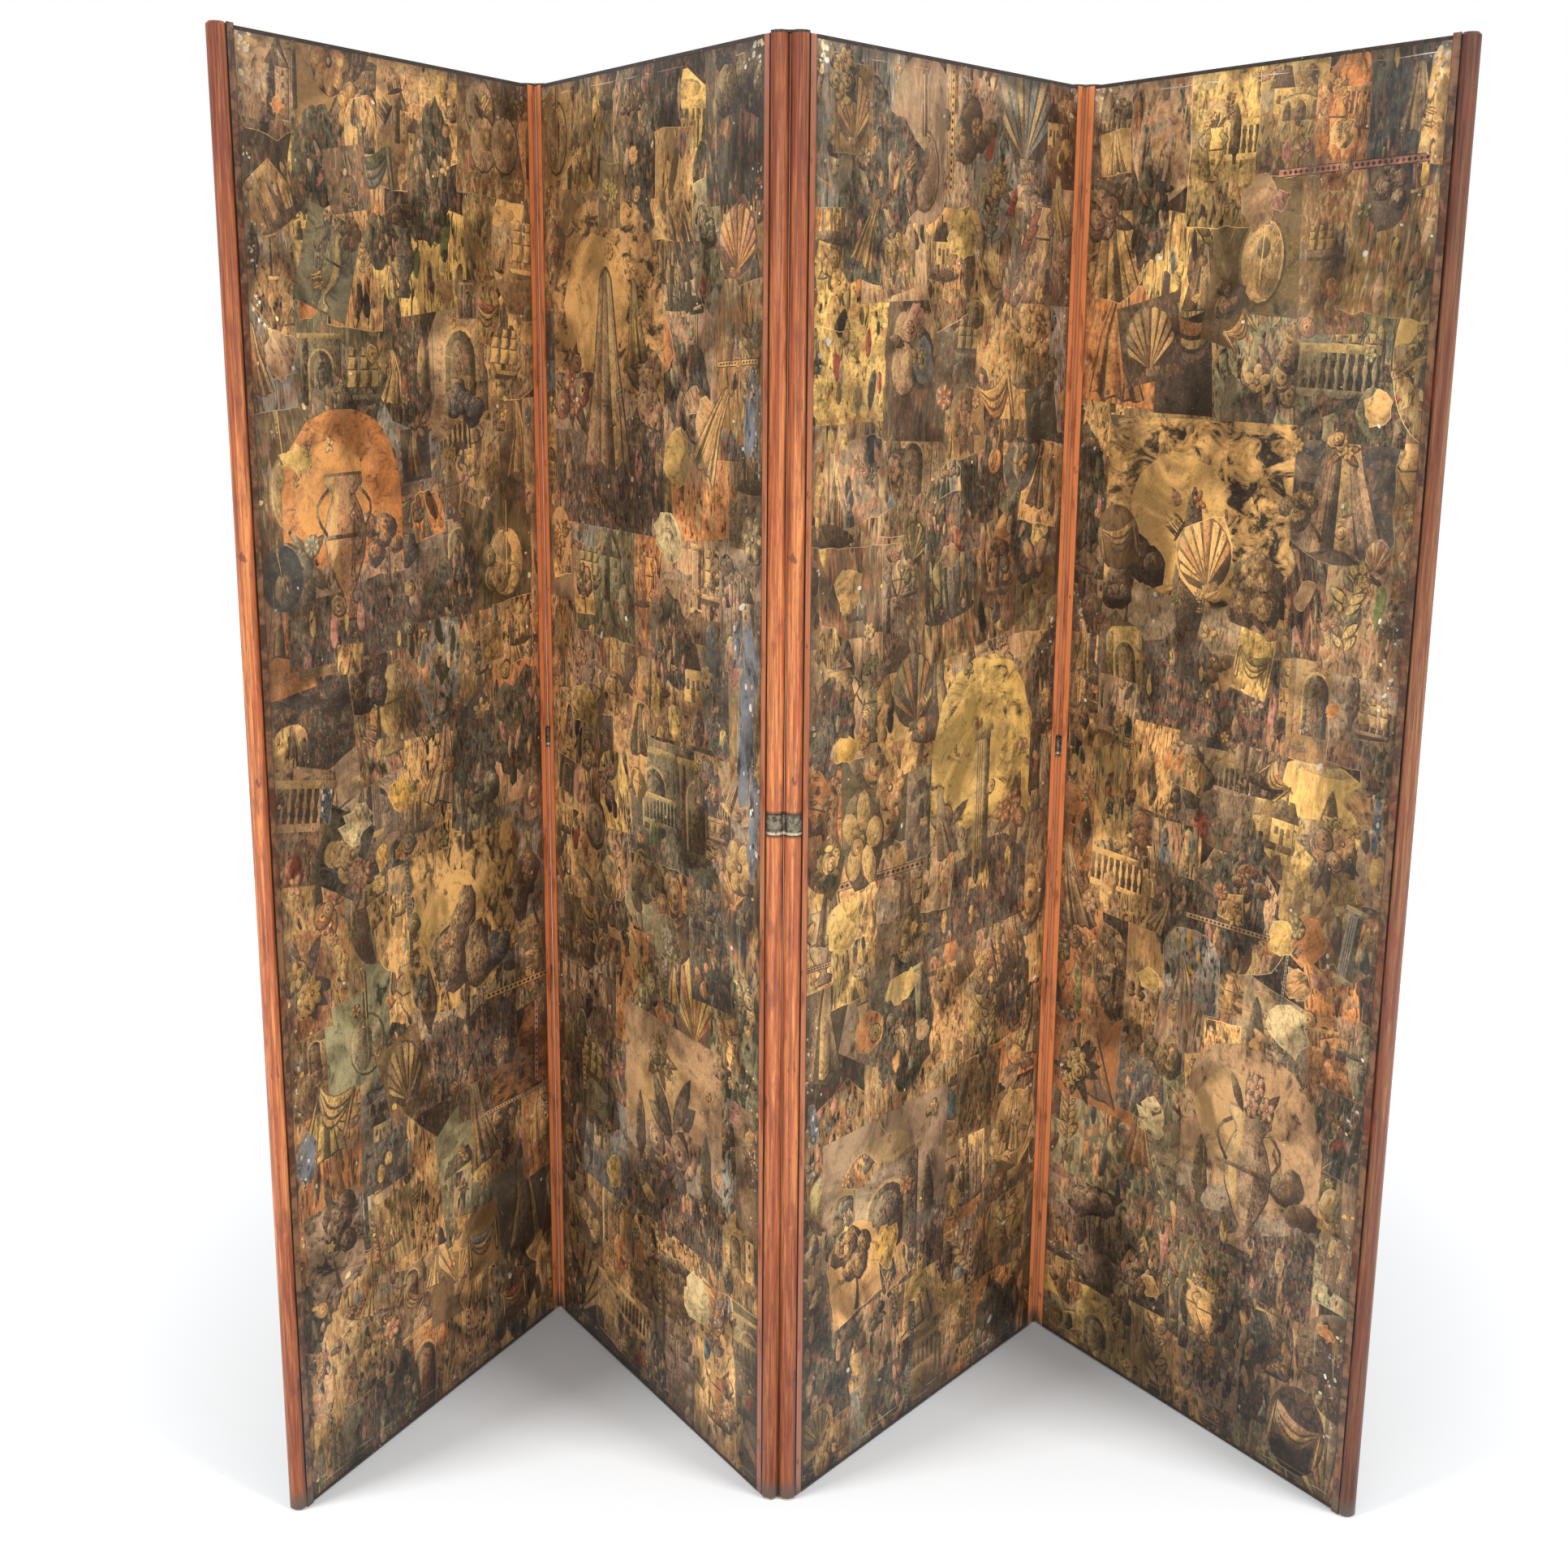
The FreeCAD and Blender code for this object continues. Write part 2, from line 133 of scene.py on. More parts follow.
class Shade:
    """A material's node tree, with short calls for the few kinds of node that the finishes use."""

    def __init__(self, name):
        self.material = bpy.data.materials.new(name)
        self.material.use_nodes = True
        self.tree = self.material.node_tree
        self.tree.nodes.clear()

    def node(self, kind, **settings):
        made = self.tree.nodes.new(kind)
        for key, value in settings.items():
            setattr(made, key, value)
        return made

    def put(self, socket, value):
        """Join a socket, or set it where the value is a plain number or colour."""
        if isinstance(value, bpy.types.NodeSocket):
            self.tree.links.new(value, socket)
        elif socket.type == "RGBA":
            socket.default_value = (*value, 1)
        else:
            socket.default_value = value

    def fill(self, made, **values):
        """Put a value in each named socket of a node, and give its first output."""
        for key, value in values.items():
            self.put(made.inputs[key.replace("_", " ")], value)
        return made.outputs[0]

    def math(self, operation, first, second):
        made = self.node("ShaderNodeMath", operation=operation)
        self.put(made.inputs[0], first)
        self.put(made.inputs[1], second)
        return made.outputs[0]

    def times(self, first, second):
        return self.math("MULTIPLY", first, second)

    def plus(self, first, second):
        return self.math("ADD", first, second)

    def less(self, first, second):
        return self.math("SUBTRACT", first, second)

    def off(self, value, middle=0.0):
        """How far a value is from the middle."""
        return self.math("ABSOLUTE", self.less(value, middle) if middle else value, 0.0)

    def mix(self, share, first, second, blend="MIX"):
        made = self.node("ShaderNodeMix", data_type="RGBA", blend_type=blend)
        for index, value in ((0, share), (6, first), (7, second)):
            self.put(made.inputs[index], value)
        return made.outputs[2]

    def tinted(self, colour, tint):
        """A colour seen through a coloured glass."""
        return self.mix(1.0, colour, tint, "MULTIPLY")

    def ramp(self, value, low, high, out_low=0.0, out_high=1.0, kind="SMOOTHSTEP"):
        return self.fill(self.node("ShaderNodeMapRange", interpolation_type=kind), Value=value, From_Min=low,
                         From_Max=high, To_Min=out_low, To_Max=out_high)

    def line(self, value, out_low, out_high):
        """From out_low to out_high as the value goes from 0 to 1."""
        return self.ramp(value, 0.0, 1.0, out_low, out_high, "LINEAR")

    def lay(self, under, over, value, low, high, most=1.0):
        """One colour over another where the value goes from low to high."""
        return self.mix(self.ramp(value, low, high, 0.0, most), under, over)

    def noise(self, vector, scale, detail=4.0, roughness=0.6, distortion=0.0):
        return self.fill(self.node("ShaderNodeTexNoise"), Vector=vector, Scale=scale, Detail=detail,
                         Roughness=roughness, Distortion=distortion)

    def streaks(self, vector, stretch, detail, roughness=0.6, distortion=0.0):
        """Noise that is drawn out along some axes."""
        return self.noise(self.mapped(vector, Scale=stretch), 1.0, detail, roughness, distortion)

    def mapped(self, vector, **settings):
        return self.fill(self.node("ShaderNodeMapping", vector_type="POINT"), Vector=vector, **settings)

    def place(self, stand=None):
        """Object coordinates, moved and turned into a leaf's own where its stand is given."""
        coords = self.node("ShaderNodeTexCoord").outputs["Object"]
        if stand is None:
            return coords
        back = stand.inverted()
        return self.mapped(coords, Location=back.to_translation(), Rotation=back.to_euler())

    def parts(self, coords):
        made = self.node("ShaderNodeSeparateXYZ")
        self.put(made.inputs[0], coords)
        return made.outputs

    def attribute(self, name):
        return self.node("ShaderNodeAttribute", attribute_name=name).outputs

    def output(self, surface):
        self.put(self.node("ShaderNodeOutputMaterial").inputs["Surface"], surface)
        return self.material

    def finish(self, colour, roughness, height, depth, strength, **sockets):
        relief = self.fill(self.node("ShaderNodeBump"), Strength=strength, Distance=depth, Height=height)
        return self.output(self.fill(self.node("ShaderNodeBsdfPrincipled"), Base_Color=colour,
                                     Roughness=roughness, Normal=relief, **sockets))


def paper_floor():
    """White paper: the light on it shows the screen's soft shadow, and the rest goes to white."""
    shade = Shade("studio_paper")
    path = shade.node("ShaderNodeLightPath").outputs
    seen = shade.math("MAXIMUM", path["Is Camera Ray"], path["Is Glossy Ray"])
    seen = shade.math("MAXIMUM", seen, path["Is Transmission Ray"])
    away = shade.node("ShaderNodeVectorMath", operation="LENGTH")
    shade.put(away.inputs[0], shade.place())
    rise = shade.ramp(away.outputs["Value"], 0.55, 2.6, 0.03, 0.66)
    lit = shade.fill(shade.node("ShaderNodeBsdfDiffuse"), Color=(0.50, 0.51, 0.52))
    glow = shade.fill(shade.node("ShaderNodeEmission"), Color=(1, 1, 1), Strength=shade.times(seen, rise))
    both = shade.node("ShaderNodeAddShader")
    shade.put(both.inputs[0], lit)
    shade.put(both.inputs[1], glow)
    return shade.output(both.outputs[0])


def set_studio():
    """A pale floor that runs away to white, two soft lamps on the screen and two on the floor alone."""
    scene = bpy.context.scene
    scene.view_settings.view_transform = "Standard"
    scene.world = bpy.data.worlds.new("studio")
    scene.world.use_nodes = True
    background = scene.world.node_tree.nodes["Background"]
    background.inputs["Color"].default_value = (1, 1, 1, 1)
    background.inputs["Strength"].default_value = 1.0
    bpy.ops.object.select_all(action="DESELECT")
    bpy.ops.mesh.primitive_plane_add(size=80, location=(0, 0, 0))
    floor = bpy.context.object
    floor.name = "floor"
    floor.data.materials.append(paper_floor())
    add_lamp("front_softbox", (-1.6, -4.2, 3.4), (0, 0, 0.9), (2.6, 2.2), 42)
    add_lamp("right_softbox", (2.8, -3.2, 2.4), (0, 0, 0.9), (2.0, 2.2), 20)
    floor_alone = bpy.data.collections.new("floor_alone")
    floor_alone.objects.link(floor)
    for name, side in (("left_floor_lamp", -1), ("right_floor_lamp", 1)):
        lamp = add_lamp(name, (side * 3.4, -2.2, 2.6), (side * 0.2, -0.4, 0), (1.5, 1.5), 240)
        lamp.light_linking.receiver_collection = floor_alone


# Motifs for the printed scraps. Each one is drawn about (0, 0) in a box of about one unit, and gives its
# shapes as (outline, tone, ink share, hatching); tone is "paper", "mid", "ink", "light" or "accent".

def laid(points, x, z, turn):
    """Points turned about zero and moved to (x, z)."""
    c, s = math.cos(turn), math.sin(turn)
    return [(x + u * c - v * s, z + u * s + v * c) for u, v in points]


def oval(x, z, across, up, turn=0.0, points=14, rough=0.0, chance=None):
    """An ellipse, or a blob where it is rough."""
    out, swells = [], []
    if rough:
        swells = [(k, chance.uniform(-1, 1) * rough / (k ** 0.7), chance.uniform(0, 6.28)) for k in (2, 3, 5)]
    for step in range(points):
        angle = 2 * math.pi * step / points
        reach = 1 + sum(size * math.cos(k * angle + start) for k, size, start in swells)
        if rough:
            reach += chance.uniform(-0.35, 0.35) * rough
        out.append((across * reach * math.cos(angle), up * reach * math.sin(angle)))
    return laid(out, x, z, turn)


def ribbon(path, widths):
    """A band that follows a path, as wide at each point as the widths say."""
    left, right = [], []
    for index, (x, z) in enumerate(path):
        before, after = path[max(index - 1, 0)], path[min(index + 1, len(path) - 1)]
        dx, dz = after[0] - before[0], after[1] - before[1]
        length = math.hypot(dx, dz) or 1.0
        half = widths[min(index, len(widths) - 1)] / 2
        left.append((x - dz / length * half, z + dx / length * half))
        right.append((x + dz / length * half, z - dx / length * half))
    return left[::-1] + right


def bow(x0, z0, x1, z1, sag, steps=5):
    """Points of a curved line between two places, bowed out to one side."""
    out = []
    for step in range(steps + 1):
        t = step / steps
        out.append((x0 + (x1 - x0) * t - (z1 - z0) * sag * math.sin(math.pi * t),
                    z0 + (z1 - z0) * t + (x1 - x0) * sag * math.sin(math.pi * t)))
    return out


def box(x0, z0, x1, z1):
    return [(x0, z0), (x1, z0), (x1, z1), (x0, z1)]


def blade(x, z, length, width, turn):
    """A pointed leaf blade from its stalk at (x, z)."""
    shape = ((0, 0), (0.22, 0.34), (0.5, 0.5), (0.78, 0.32), (1, 0), (0.78, -0.3), (0.5, -0.46),
             (0.22, -0.34))
    return laid([(u * length, v * width) for u, v in shape], x, z, turn)


def between(profile, inner, outer):
    """The part of a turned shape between two shares of its half width."""
    return [(w * inner, z) for w, z in profile] + [(w * outer, z) for w, z in reversed(profile)]


def mirrored(profile):
    return between(profile, 1, -1)


def turns_left(outline):
    """Whether the outline runs anticlockwise."""
    return sum(a[0] * b[1] - b[0] * a[1] for a, b in zip(outline, outline[1:] + outline[:1])) > 0


def swell(outline, by):
    """The outline moved out along its own corners."""
    sense = 1 if turns_left(outline) else -1
    out = []
    for index, (x, z) in enumerate(outline):
        before, after = outline[index - 1], outline[(index + 1) % len(outline)]
        dx, dz = after[0] - before[0], after[1] - before[1]
        length = math.hypot(dx, dz) or 1.0
        out.append((x + sense * dz / length * by, z - sense * dx / length * by))
    return out


def leafy_sprig(chance):
    bend = chance.uniform(-0.25, 0.25)
    stem = bow(0, -0.5, chance.uniform(-0.2, 0.2), 0.45, bend, 7)
    yield ribbon(stem, [0.035, 0.015]), "ink", 0.4, 0
    for x, z in stem[1:]:
        for side in (-1, 1):
            turn = math.pi / 2 - side * chance.uniform(0.6, 1.1)
            length = chance.uniform(0.22, 0.36)
            yield blade(x, z, length, length * 0.5, turn), "ink", 0.3, 0.3
            tone = "accent" if chance.random() < 0.5 else "mid"
            yield blade(x, z, length * 0.86, length * 0.34, turn), tone, 0.35, 0.6


def flower_head(chance, x=0.0, z=0.0, size=0.5):
    petals = chance.choice((5, 6, 8))
    start = chance.uniform(0, 6)
    yield oval(x, z, size * 0.96, size * 0.96, 0, 12, 0.08, chance), "ink", 0.3, 0
    for index in range(petals):
        angle = start + 2 * math.pi * index / petals
        for reach, across, up, points, tone, share, hatch in ((0.55, 0.40, 0.30, 9, "accent", 0.25, 0.3),
                                                              (0.62, 0.20, 0.13, 7, "light", 0.2, 0.2)):
            px, pz = x + math.cos(angle) * size * reach, z + math.sin(angle) * size * reach
            yield oval(px, pz, size * across, size * up, angle, points), tone, share, hatch
    yield oval(x, z, size * 0.2, size * 0.2, 0, 8), "ink", 0.3, 0
    yield oval(x, z, size * 0.11, size * 0.11, 0, 6), "light", 0.1, 0


def rose(chance, x=0.0, z=0.0, size=0.5):
    for step, tone in enumerate(("ink", "accent", "mid", "accent", "light", "ink")):
        r = size * (1 - step * 0.17)
        px, pz = x + chance.uniform(-.05, .05) * size, z + chance.uniform(-.05, .05) * size
        yield oval(px, pz, r, r * 0.86, chance.uniform(0, 3), 11, 0.14, chance), tone, 0.3, 0.4


def nosegay(chance):
    for _ in range(9):
        angle = chance.uniform(0, 6.28)
        yield blade(0, 0, chance.uniform(0.4, 0.62), 0.2, angle), "ink", 0.3, 0.4
        yield blade(0, 0, chance.uniform(0.34, 0.52), 0.12, angle), "mid", 0.4, 0.6
    for _ in range(5):
        angle, reach = chance.uniform(0, 6.28), chance.uniform(0.05, 0.3)
        bloom = rose if chance.random() < 0.5 else flower_head
        yield from bloom(chance, reach * math.cos(angle), reach * math.sin(angle), chance.uniform(0.14, 0.22))


def tree(chance):
    foot, head = chance.uniform(-0.05, 0.05), chance.uniform(-0.1, 0.1)
    trunk = bow(foot, -0.5, head, 0.15, chance.uniform(-0.12, 0.12))
    yield ribbon(trunk, [0.1, 0.07, 0.05, 0.04]), "ink", 0.3, 0
    places = [(chance.uniform(-0.3, 0.3), chance.uniform(-0.05, 0.4)) for _ in range(8)]
    for tone, drop, share in (("ink", 0.0, 1.0), ("mid", 0.04, 0.62), ("paper", 0.07, 0.28)):
        for x, z in places:
            size = chance.uniform(0.13, 0.2) * share
            yield oval(x - drop * 0.6, z + drop, size * 1.15, size, 0, 11, 0.24, chance), tone, 0.5, 0.5


def poplar(chance):
    profile = [(0.03, -0.5), (0.05, -0.36), (0.14, -0.2), (0.16, 0.0), (0.12, 0.22), (0.06, 0.4), (0.01, 0.5)]
    rough = [(w * chance.uniform(0.75, 1.2), z) for w, z in profile]
    yield mirrored(rough), "ink", 0.4, 0.4
    near = [(-w * 0.2 - 0.02, z * 0.9) for w, z in rough[2:]]
    yield near + [(-w * 0.75, z * 0.88) for w, z in reversed(rough[2:])], "mid", 0.5, 0.6


def urn(chance):
    profile = [(0.16, -0.5), (0.17, -0.44), (0.07, -0.4), (0.05, -0.34), (0.12, -0.26), (0.24, -0.1),
               (0.27, 0.06), (0.2, 0.2), (0.14, 0.27), (0.15, 0.32), (0.24, 0.38), (0.25, 0.42)]
    profile = [(w * chance.uniform(0.94, 1.06), z) for w, z in profile]
    yield swell(mirrored(profile), 0.02), "ink", 0.3, 0
    yield mirrored(profile), "paper", 0.25, 0.4
    yield between(profile, 0.3, 0.97), "mid", 0.5, 0.9
    yield between(profile, -0.45, -0.84), "light", 0.1, 0.2
    yield box(-0.26, 0.02, 0.26, 0.05), "ink", 0.2, 0
    for side in (-1, 1):
        yield ribbon(bow(side * 0.24, 0.05, side * 0.2, 0.34, side * -0.5), [0.03]), "ink", 0.2, 0
    if chance.random() < 0.6:
        for _ in range(6):
            x = chance.uniform(-0.22, 0.22)
            yield blade(x * 0.5, 0.4, 0.3, 0.1, 1.57 - x * 4), "ink", 0.3, 0.5
        for _ in range(4):
            yield from flower_head(chance, chance.uniform(-0.2, 0.2), chance.uniform(0.44, 0.62), 0.09)


def column(chance):
    yield box(-0.17, -0.5, 0.17, -0.43), "light", 0.2, 0.3
    yield box(-0.12, -0.43, 0.12, 0.36), "paper", 0.2, 0.3
    yield box(0.03, -0.43, 0.12, 0.36), "ink", 0.3, 0.8
    yield box(-0.17, 0.4, 0.17, 0.46), "light", 0.2, 0.3
    yield box(-0.13, 0.36, 0.13, 0.4), "mid", 0.3, 0.4
    for x in (-0.08, -0.045, -0.01):
        yield box(x, -0.41, x + 0.012, 0.35), "ink", 0.2, 0


def archway(chance):
    yield box(-0.42, -0.5, 0.42, 0.4), "ink", 0.3, 0
    yield box(-0.4, -0.5, 0.4, 0.38), "paper", 0.35, 0.7
    yield box(-0.46, 0.38, 0.46, 0.45), "light", 0.2, 0.4
    yield box(0.24, -0.5, 0.4, 0.38), "mid", 0.5, 0.9
    half = [(-1, 0), (-0.92, 0.38), (-0.7, 0.7), (-0.38, 0.92)]
    steps = [*half, (0, 1), *[(-x, z) for x, z in reversed(half)]]
    for size, tone, share in ((0.27, "light", 0.2), (0.23, "ink", 0.5), (0.15, "mid", 0.5)):
        top = [(x * size, 0.02 + z * 0.2 * size / 0.23) for x, z in steps]
        yield [(-size, -0.5), *top, (size, -0.5)][::-1], tone, share, 0.6


def tower(chance):
    wide = chance.uniform(0.13, 0.2)
    yield box(-wide - 0.01, -0.5, wide + 0.01, 0.12), "ink", 0.2, 0
    yield box(-wide, -0.5, wide, 0.11), "paper", 0.3, 0.6
    yield box(wide * 0.2, -0.5, wide, 0.11), "ink", 0.5, 0.9
    yield [(-wide * 1.2, 0.1), (wide * 1.2, 0.1), (0, chance.uniform(0.3, 0.5))], "ink", 0.3, 0.5
    yield [(-wide * 1.1, 0.11), (-wide * 0.2, 0.11), (0, 0.3)], "mid", 0.3, 0.5
    for z in (-0.32, -0.14, 0.0):
        yield box(-wide * 0.62, z, -wide * 0.34, z + 0.07), "ink", 0.2, 0


def cottage(chance):
    yield box(-0.4, -0.42, 0.34, 0.04), "ink", 0.2, 0
    yield box(-0.38, -0.42, 0.1, 0.02), "light", 0.2, 0.3
    yield box(0.1, -0.42, 0.33, 0.02), "mid", 0.4, 0.8
    yield [(-0.5, 0.0), (0.08, 0.0), (-0.04, 0.36), (-0.36, 0.36)], "ink", 0.45, 0.8
    yield [(0.08, 0.0), (0.42, 0.0), (0.24, 0.3), (-0.04, 0.36)], "mid", 0.45, 0.9
    yield box(-0.26, 0.3, -0.17, 0.5), "ink", 0.3, 0.3
    yield box(-0.26, 0.3, -0.22, 0.5), "paper", 0.2, 0
    for x in (-0.32, -0.06):
        yield box(x, -0.26, x + 0.09, -0.12), "ink", 0.2, 0
    yield box(-0.19, -0.42, -0.1, -0.14), "ink", 0.2, 0


def sailing_ship(chance):
    hull = [(-0.42, -0.22), (-0.34, -0.38), (0.26, -0.4), (0.46, -0.16), (0.3, -0.24), (-0.2, -0.26)]
    yield hull, "ink", 0.2, 0.2
    yield [(-0.38, -0.26), (-0.33, -0.31), (0.3, -0.32), (0.36, -0.25)], "paper", 0.2, 0.2
    for x, top in ((-0.22, 0.34), (0.02, 0.5), (0.24, 0.36)):
        yield box(x - 0.008, -0.26, x + 0.008, top), "ink", 0.1, 0
        for low, high, wide in ((-0.16, 0.04, 0.12), (0.06, 0.2, 0.1), (0.22, 0.32, 0.07)):
            if high < top:
                middle = (low + high) / 2
                sail = [(x - wide, low), (x + wide * 0.8, low), (x + wide * 0.96, middle),
                        (x + wide * 0.66, high), (x - wide * 0.76, high), (x - wide * 0.7, middle)]
                shaded = [(x + 0.02, low + 0.01), (x + wide * 0.8, low), (x + wide * 0.9, middle),
                          (x + wide * 0.6, high)]
                yield swell(sail, 0.012), "ink", 0.2, 0
                yield sail, "light", 0.15, 0.3
                yield shaded, "mid", 0.3, 0.8


def bridge(chance):
    rail = [(0.5, 0.02), (0.1, 0.14), (-0.1, 0.14), (-0.5, 0.04)]
    yield [(-0.5, -0.1), (0.5, -0.12), *rail], "paper", 0.3, 0.7
    yield [*rail[::-1], (0.5, 0.05), (0.1, 0.18), (-0.1, 0.18), (-0.5, 0.08)], "ink", 0.2, 0
    yield box(-0.5, -0.32, 0.5, -0.1), "mid", 0.4, 0.7
    for x, wide in ((-0.34, 0.1), (0.0, 0.14), (0.34, 0.1)):
        angles = (0, 0.5, 1.05, 1.57, 2.1, 2.64, 3.14)
        top = [(x + wide * math.cos(a), -0.2 + 0.24 * math.sin(a)) for a in angles]
        yield [(x + wide, -0.33), *top, (x - wide, -0.33)], "ink", 0.4, 0.4


def fruit(chance):
    for _ in range(5):
        x, z, size = chance.uniform(-0.26, 0.26), chance.uniform(-0.2, 0.16), chance.uniform(0.15, 0.22)
        yield oval(x, z, size * 1.05, size * 1.02, 0, 13), "ink", 0.2, 0
        yield oval(x, z, size * 0.97, size * 0.93, 0, 13), "accent", 0.25, 0.3
        yield oval(x - size * 0.22, z + size * 0.2, size * 0.5, size * 0.42, 0, 9), "paper", 0.1, 0.1
        yield oval(x - size * 0.3, z + size * 0.3, size * 0.2, size * 0.16, 0, 7), "light", 0.0, 0
        yield blade(x, z + size * 0.8, size * 1.3, size * 0.5, chance.uniform(0.2, 2.8)), "mid", 0.5, 0.6


def bulrushes(chance):
    """A stand of reeds and seed heads rising from a low bank."""
    yield oval(0, -0.42, 0.46, 0.1, 0, 14, 0.2, chance), "ink", 0.4, 0.5
    for _ in range(11):
        x, lean, top = chance.uniform(-0.4, 0.4), chance.gauss(0, 0.07), chance.uniform(0.1, 0.48)
        reed = blade(x, -0.46, top + 0.46, chance.uniform(0.05, 0.11), 1.57 + lean)
        yield reed, chance.choice(("ink", "mid", "paper")), 0.35, 0.6
    for _ in range(7):
        x, z = chance.uniform(-0.4, 0.4), chance.uniform(-0.1, 0.38)
        yield ribbon([(x, -0.42), (x + chance.gauss(0, 0.02), z)], [0.02, 0.014]), "ink", 0.2, 0
        head = oval(x, z, 0.045, 0.1, chance.gauss(0, 0.15), 9, 0.1, chance)
        yield head, chance.choice(("accent", "light", "paper")), 0.3, 0.4


def scallop_shell(chance):
    yield oval(0, 0.02, 0.46, 0.44, 0, 18, 0.04, chance), "ink", 0.2, 0
    for index in range(9):
        a0, a1 = math.radians(-20 + index * 24.5), math.radians(-20 + (index + 0.7) * 24.5)
        edge = [(across * math.cos(a), 0.02 + up * math.sin(a))
                for across, up, a in ((0.42, 0.4, a0), (0.44, 0.42, (a0 + a1) / 2), (0.42, 0.4, a1))]
        yield [(0.05, -0.36), *edge], ("light", "paper", "accent")[index % 3], 0.2, 0.5
    yield box(-0.13, -0.45, 0.13, -0.34), "mid", 0.2, 0.5


def draped_cloth(chance):
    """A length of cloth hung from a peg in deep folds."""
    lean = chance.uniform(-0.12, 0.12)
    folds = chance.choice((6, 7, 8))
    seams = range(folds + 1)
    foot = [(-0.34 + 0.68 * k / folds, -0.46 + chance.uniform(-0.04, 0.05)) for k in seams]
    waist = [(lean + (-0.16 + 0.32 * k / folds) * chance.uniform(0.9, 1.1), 0.05) for k in seams]
    arch = [0.44 + 0.04 * math.sin(math.pi * k / folds) for k in seams]
    head = [(lean * 0.5 + (-0.07 + 0.14 * k / folds), arch[k]) for k in seams]
    yield swell([*foot, *waist[::-1][:1], *head[::-1], *waist[:1]], 0.022), "ink", 0.3, 0
    for k in range(folds):
        tone = ("light", "paper", "mid", "paper", "ink")[(k + folds) % 5]
        yield [foot[k], foot[k + 1], waist[k + 1], head[k + 1], head[k], waist[k]], tone, 0.25, 0.6
    for k in range(2, folds, 3):
        crease = bow(*foot[k], *head[k], chance.uniform(-0.05, 0.05))
        yield ribbon(crease, [0.035, 0.02, 0.006]), "ink", 0.2, 0


def swag(chance):
    for tone, depth in (("paper", 0.42), ("light", 0.3), ("accent", 0.18)):
        sag = bow(-0.45, 0.2, 0.45, 0.2, -depth, 9)
        yield ribbon(sag, [0.05, 0.13, 0.15, 0.16, 0.16, 0.15, 0.13, 0.05]), "ink", 0.2, 0
        fold = ribbon([(x, z + 0.012) for x, z in sag], [0.03, 0.08, 0.1, 0.11, 0.11, 0.1, 0.08, 0.03])
        yield fold, tone, 0.3, 0.7
    for side in (-1, 1):
        tail = [(0.4, 0.24), (0.5, 0.2), (0.48, -0.3), (0.42, -0.38), (0.36, -0.3)]
        gleam = [(0.42, 0.22), (0.46, -0.3), (0.4, -0.3)]
        for points, tone, hatch in ((tail, "ink", 0), (gleam, "light", 0.5)):
            yield [(side * x, z) for x, z in points], tone, 0.2, hatch


def lute(chance):
    yield oval(0, -0.2, 0.24, 0.28, 0, 16), "ink", 0.2, 0
    yield oval(0, -0.2, 0.215, 0.255, 0, 16), "paper", 0.2, 0.3
    yield oval(0.06, -0.2, 0.13, 0.23, 0, 14), "mid", 0.3, 0.7
    yield oval(0, -0.12, 0.07, 0.07, 0, 10), "ink", 0.1, 0
    yield box(-0.035, 0.02, 0.035, 0.44), "ink", 0.2, 0
    yield box(-0.012, -0.34, 0.0, 0.42), "light", 0, 0
    yield [(-0.04, 0.42), (0.05, 0.42), (0.12, 0.52), (0.02, 0.54)], "mid", 0.3, 0


def butterfly(chance):
    for side in (-1, 1):
        for x, z, a, b, turn in ((0.24, 0.14, 0.26, 0.17, 0.7), (0.18, -0.16, 0.18, 0.13, -0.8)):
            yield oval(side * x, z, a, b, side * turn, 12), "ink", 0.2, 0
            yield oval(side * x, z, a * 0.84, b * 0.78, side * turn, 12), "accent", 0.2, 0.4
            yield oval(side * x * 1.2, z * 1.15, a * 0.3, b * 0.34, side * turn, 8), "light", 0.1, 0
    yield oval(0, 0, 0.03, 0.24, 0, 8), "ink", 0.1, 0


def small_bird(chance):
    yield oval(0, 0, 0.3, 0.17, 0.4, 14), "ink", 0.2, 0
    yield oval(0.01, 0.0, 0.26, 0.135, 0.4, 14), "accent", 0.3, 0.6
    yield oval(0.24, 0.18, 0.12, 0.11, 0, 12), "mid", 0.3, 0.3
    yield oval(0.04, 0.05, 0.13, 0.06, 0.5, 10), "light", 0.1, 0.4
    yield [(0.34, 0.2), (0.45, 0.17), (0.34, 0.15)], "ink", 0, 0
    yield blade(-0.14, -0.08, 0.36, 0.1, 3.7), "ink", 0.3, 0.5
    yield blade(-0.1, -0.02, 0.28, 0.12, 3.3), "mid", 0.3, 0.7
    yield ribbon(bow(-0.4, -0.3, 0.45, -0.22, 0.12), [0.04, 0.02]), "ink", 0.3, 0


def scrollwork(chance):
    for side in (-1, 1):
        path = []
        for step in range(12):
            angle = 1.2 + step * 0.52
            reach = 0.3 * (1 - step / 17)
            path.append((side * (0.3 - reach * math.cos(angle)), reach * math.sin(angle) - 0.02))
        yield ribbon(path, [0.07, 0.075, 0.07, 0.065, 0.06, 0.055, 0.05, 0.04, 0.03]), "ink", 0.2, 0
        yield ribbon(path, [0.035, 0.04, 0.04, 0.035, 0.03, 0.03, 0.02]), "light", 0.2, 0.3
        yield blade(side * 0.05, -0.1, 0.3, 0.14, 1.57 - side * 0.6), "mid", 0.4, 0.6


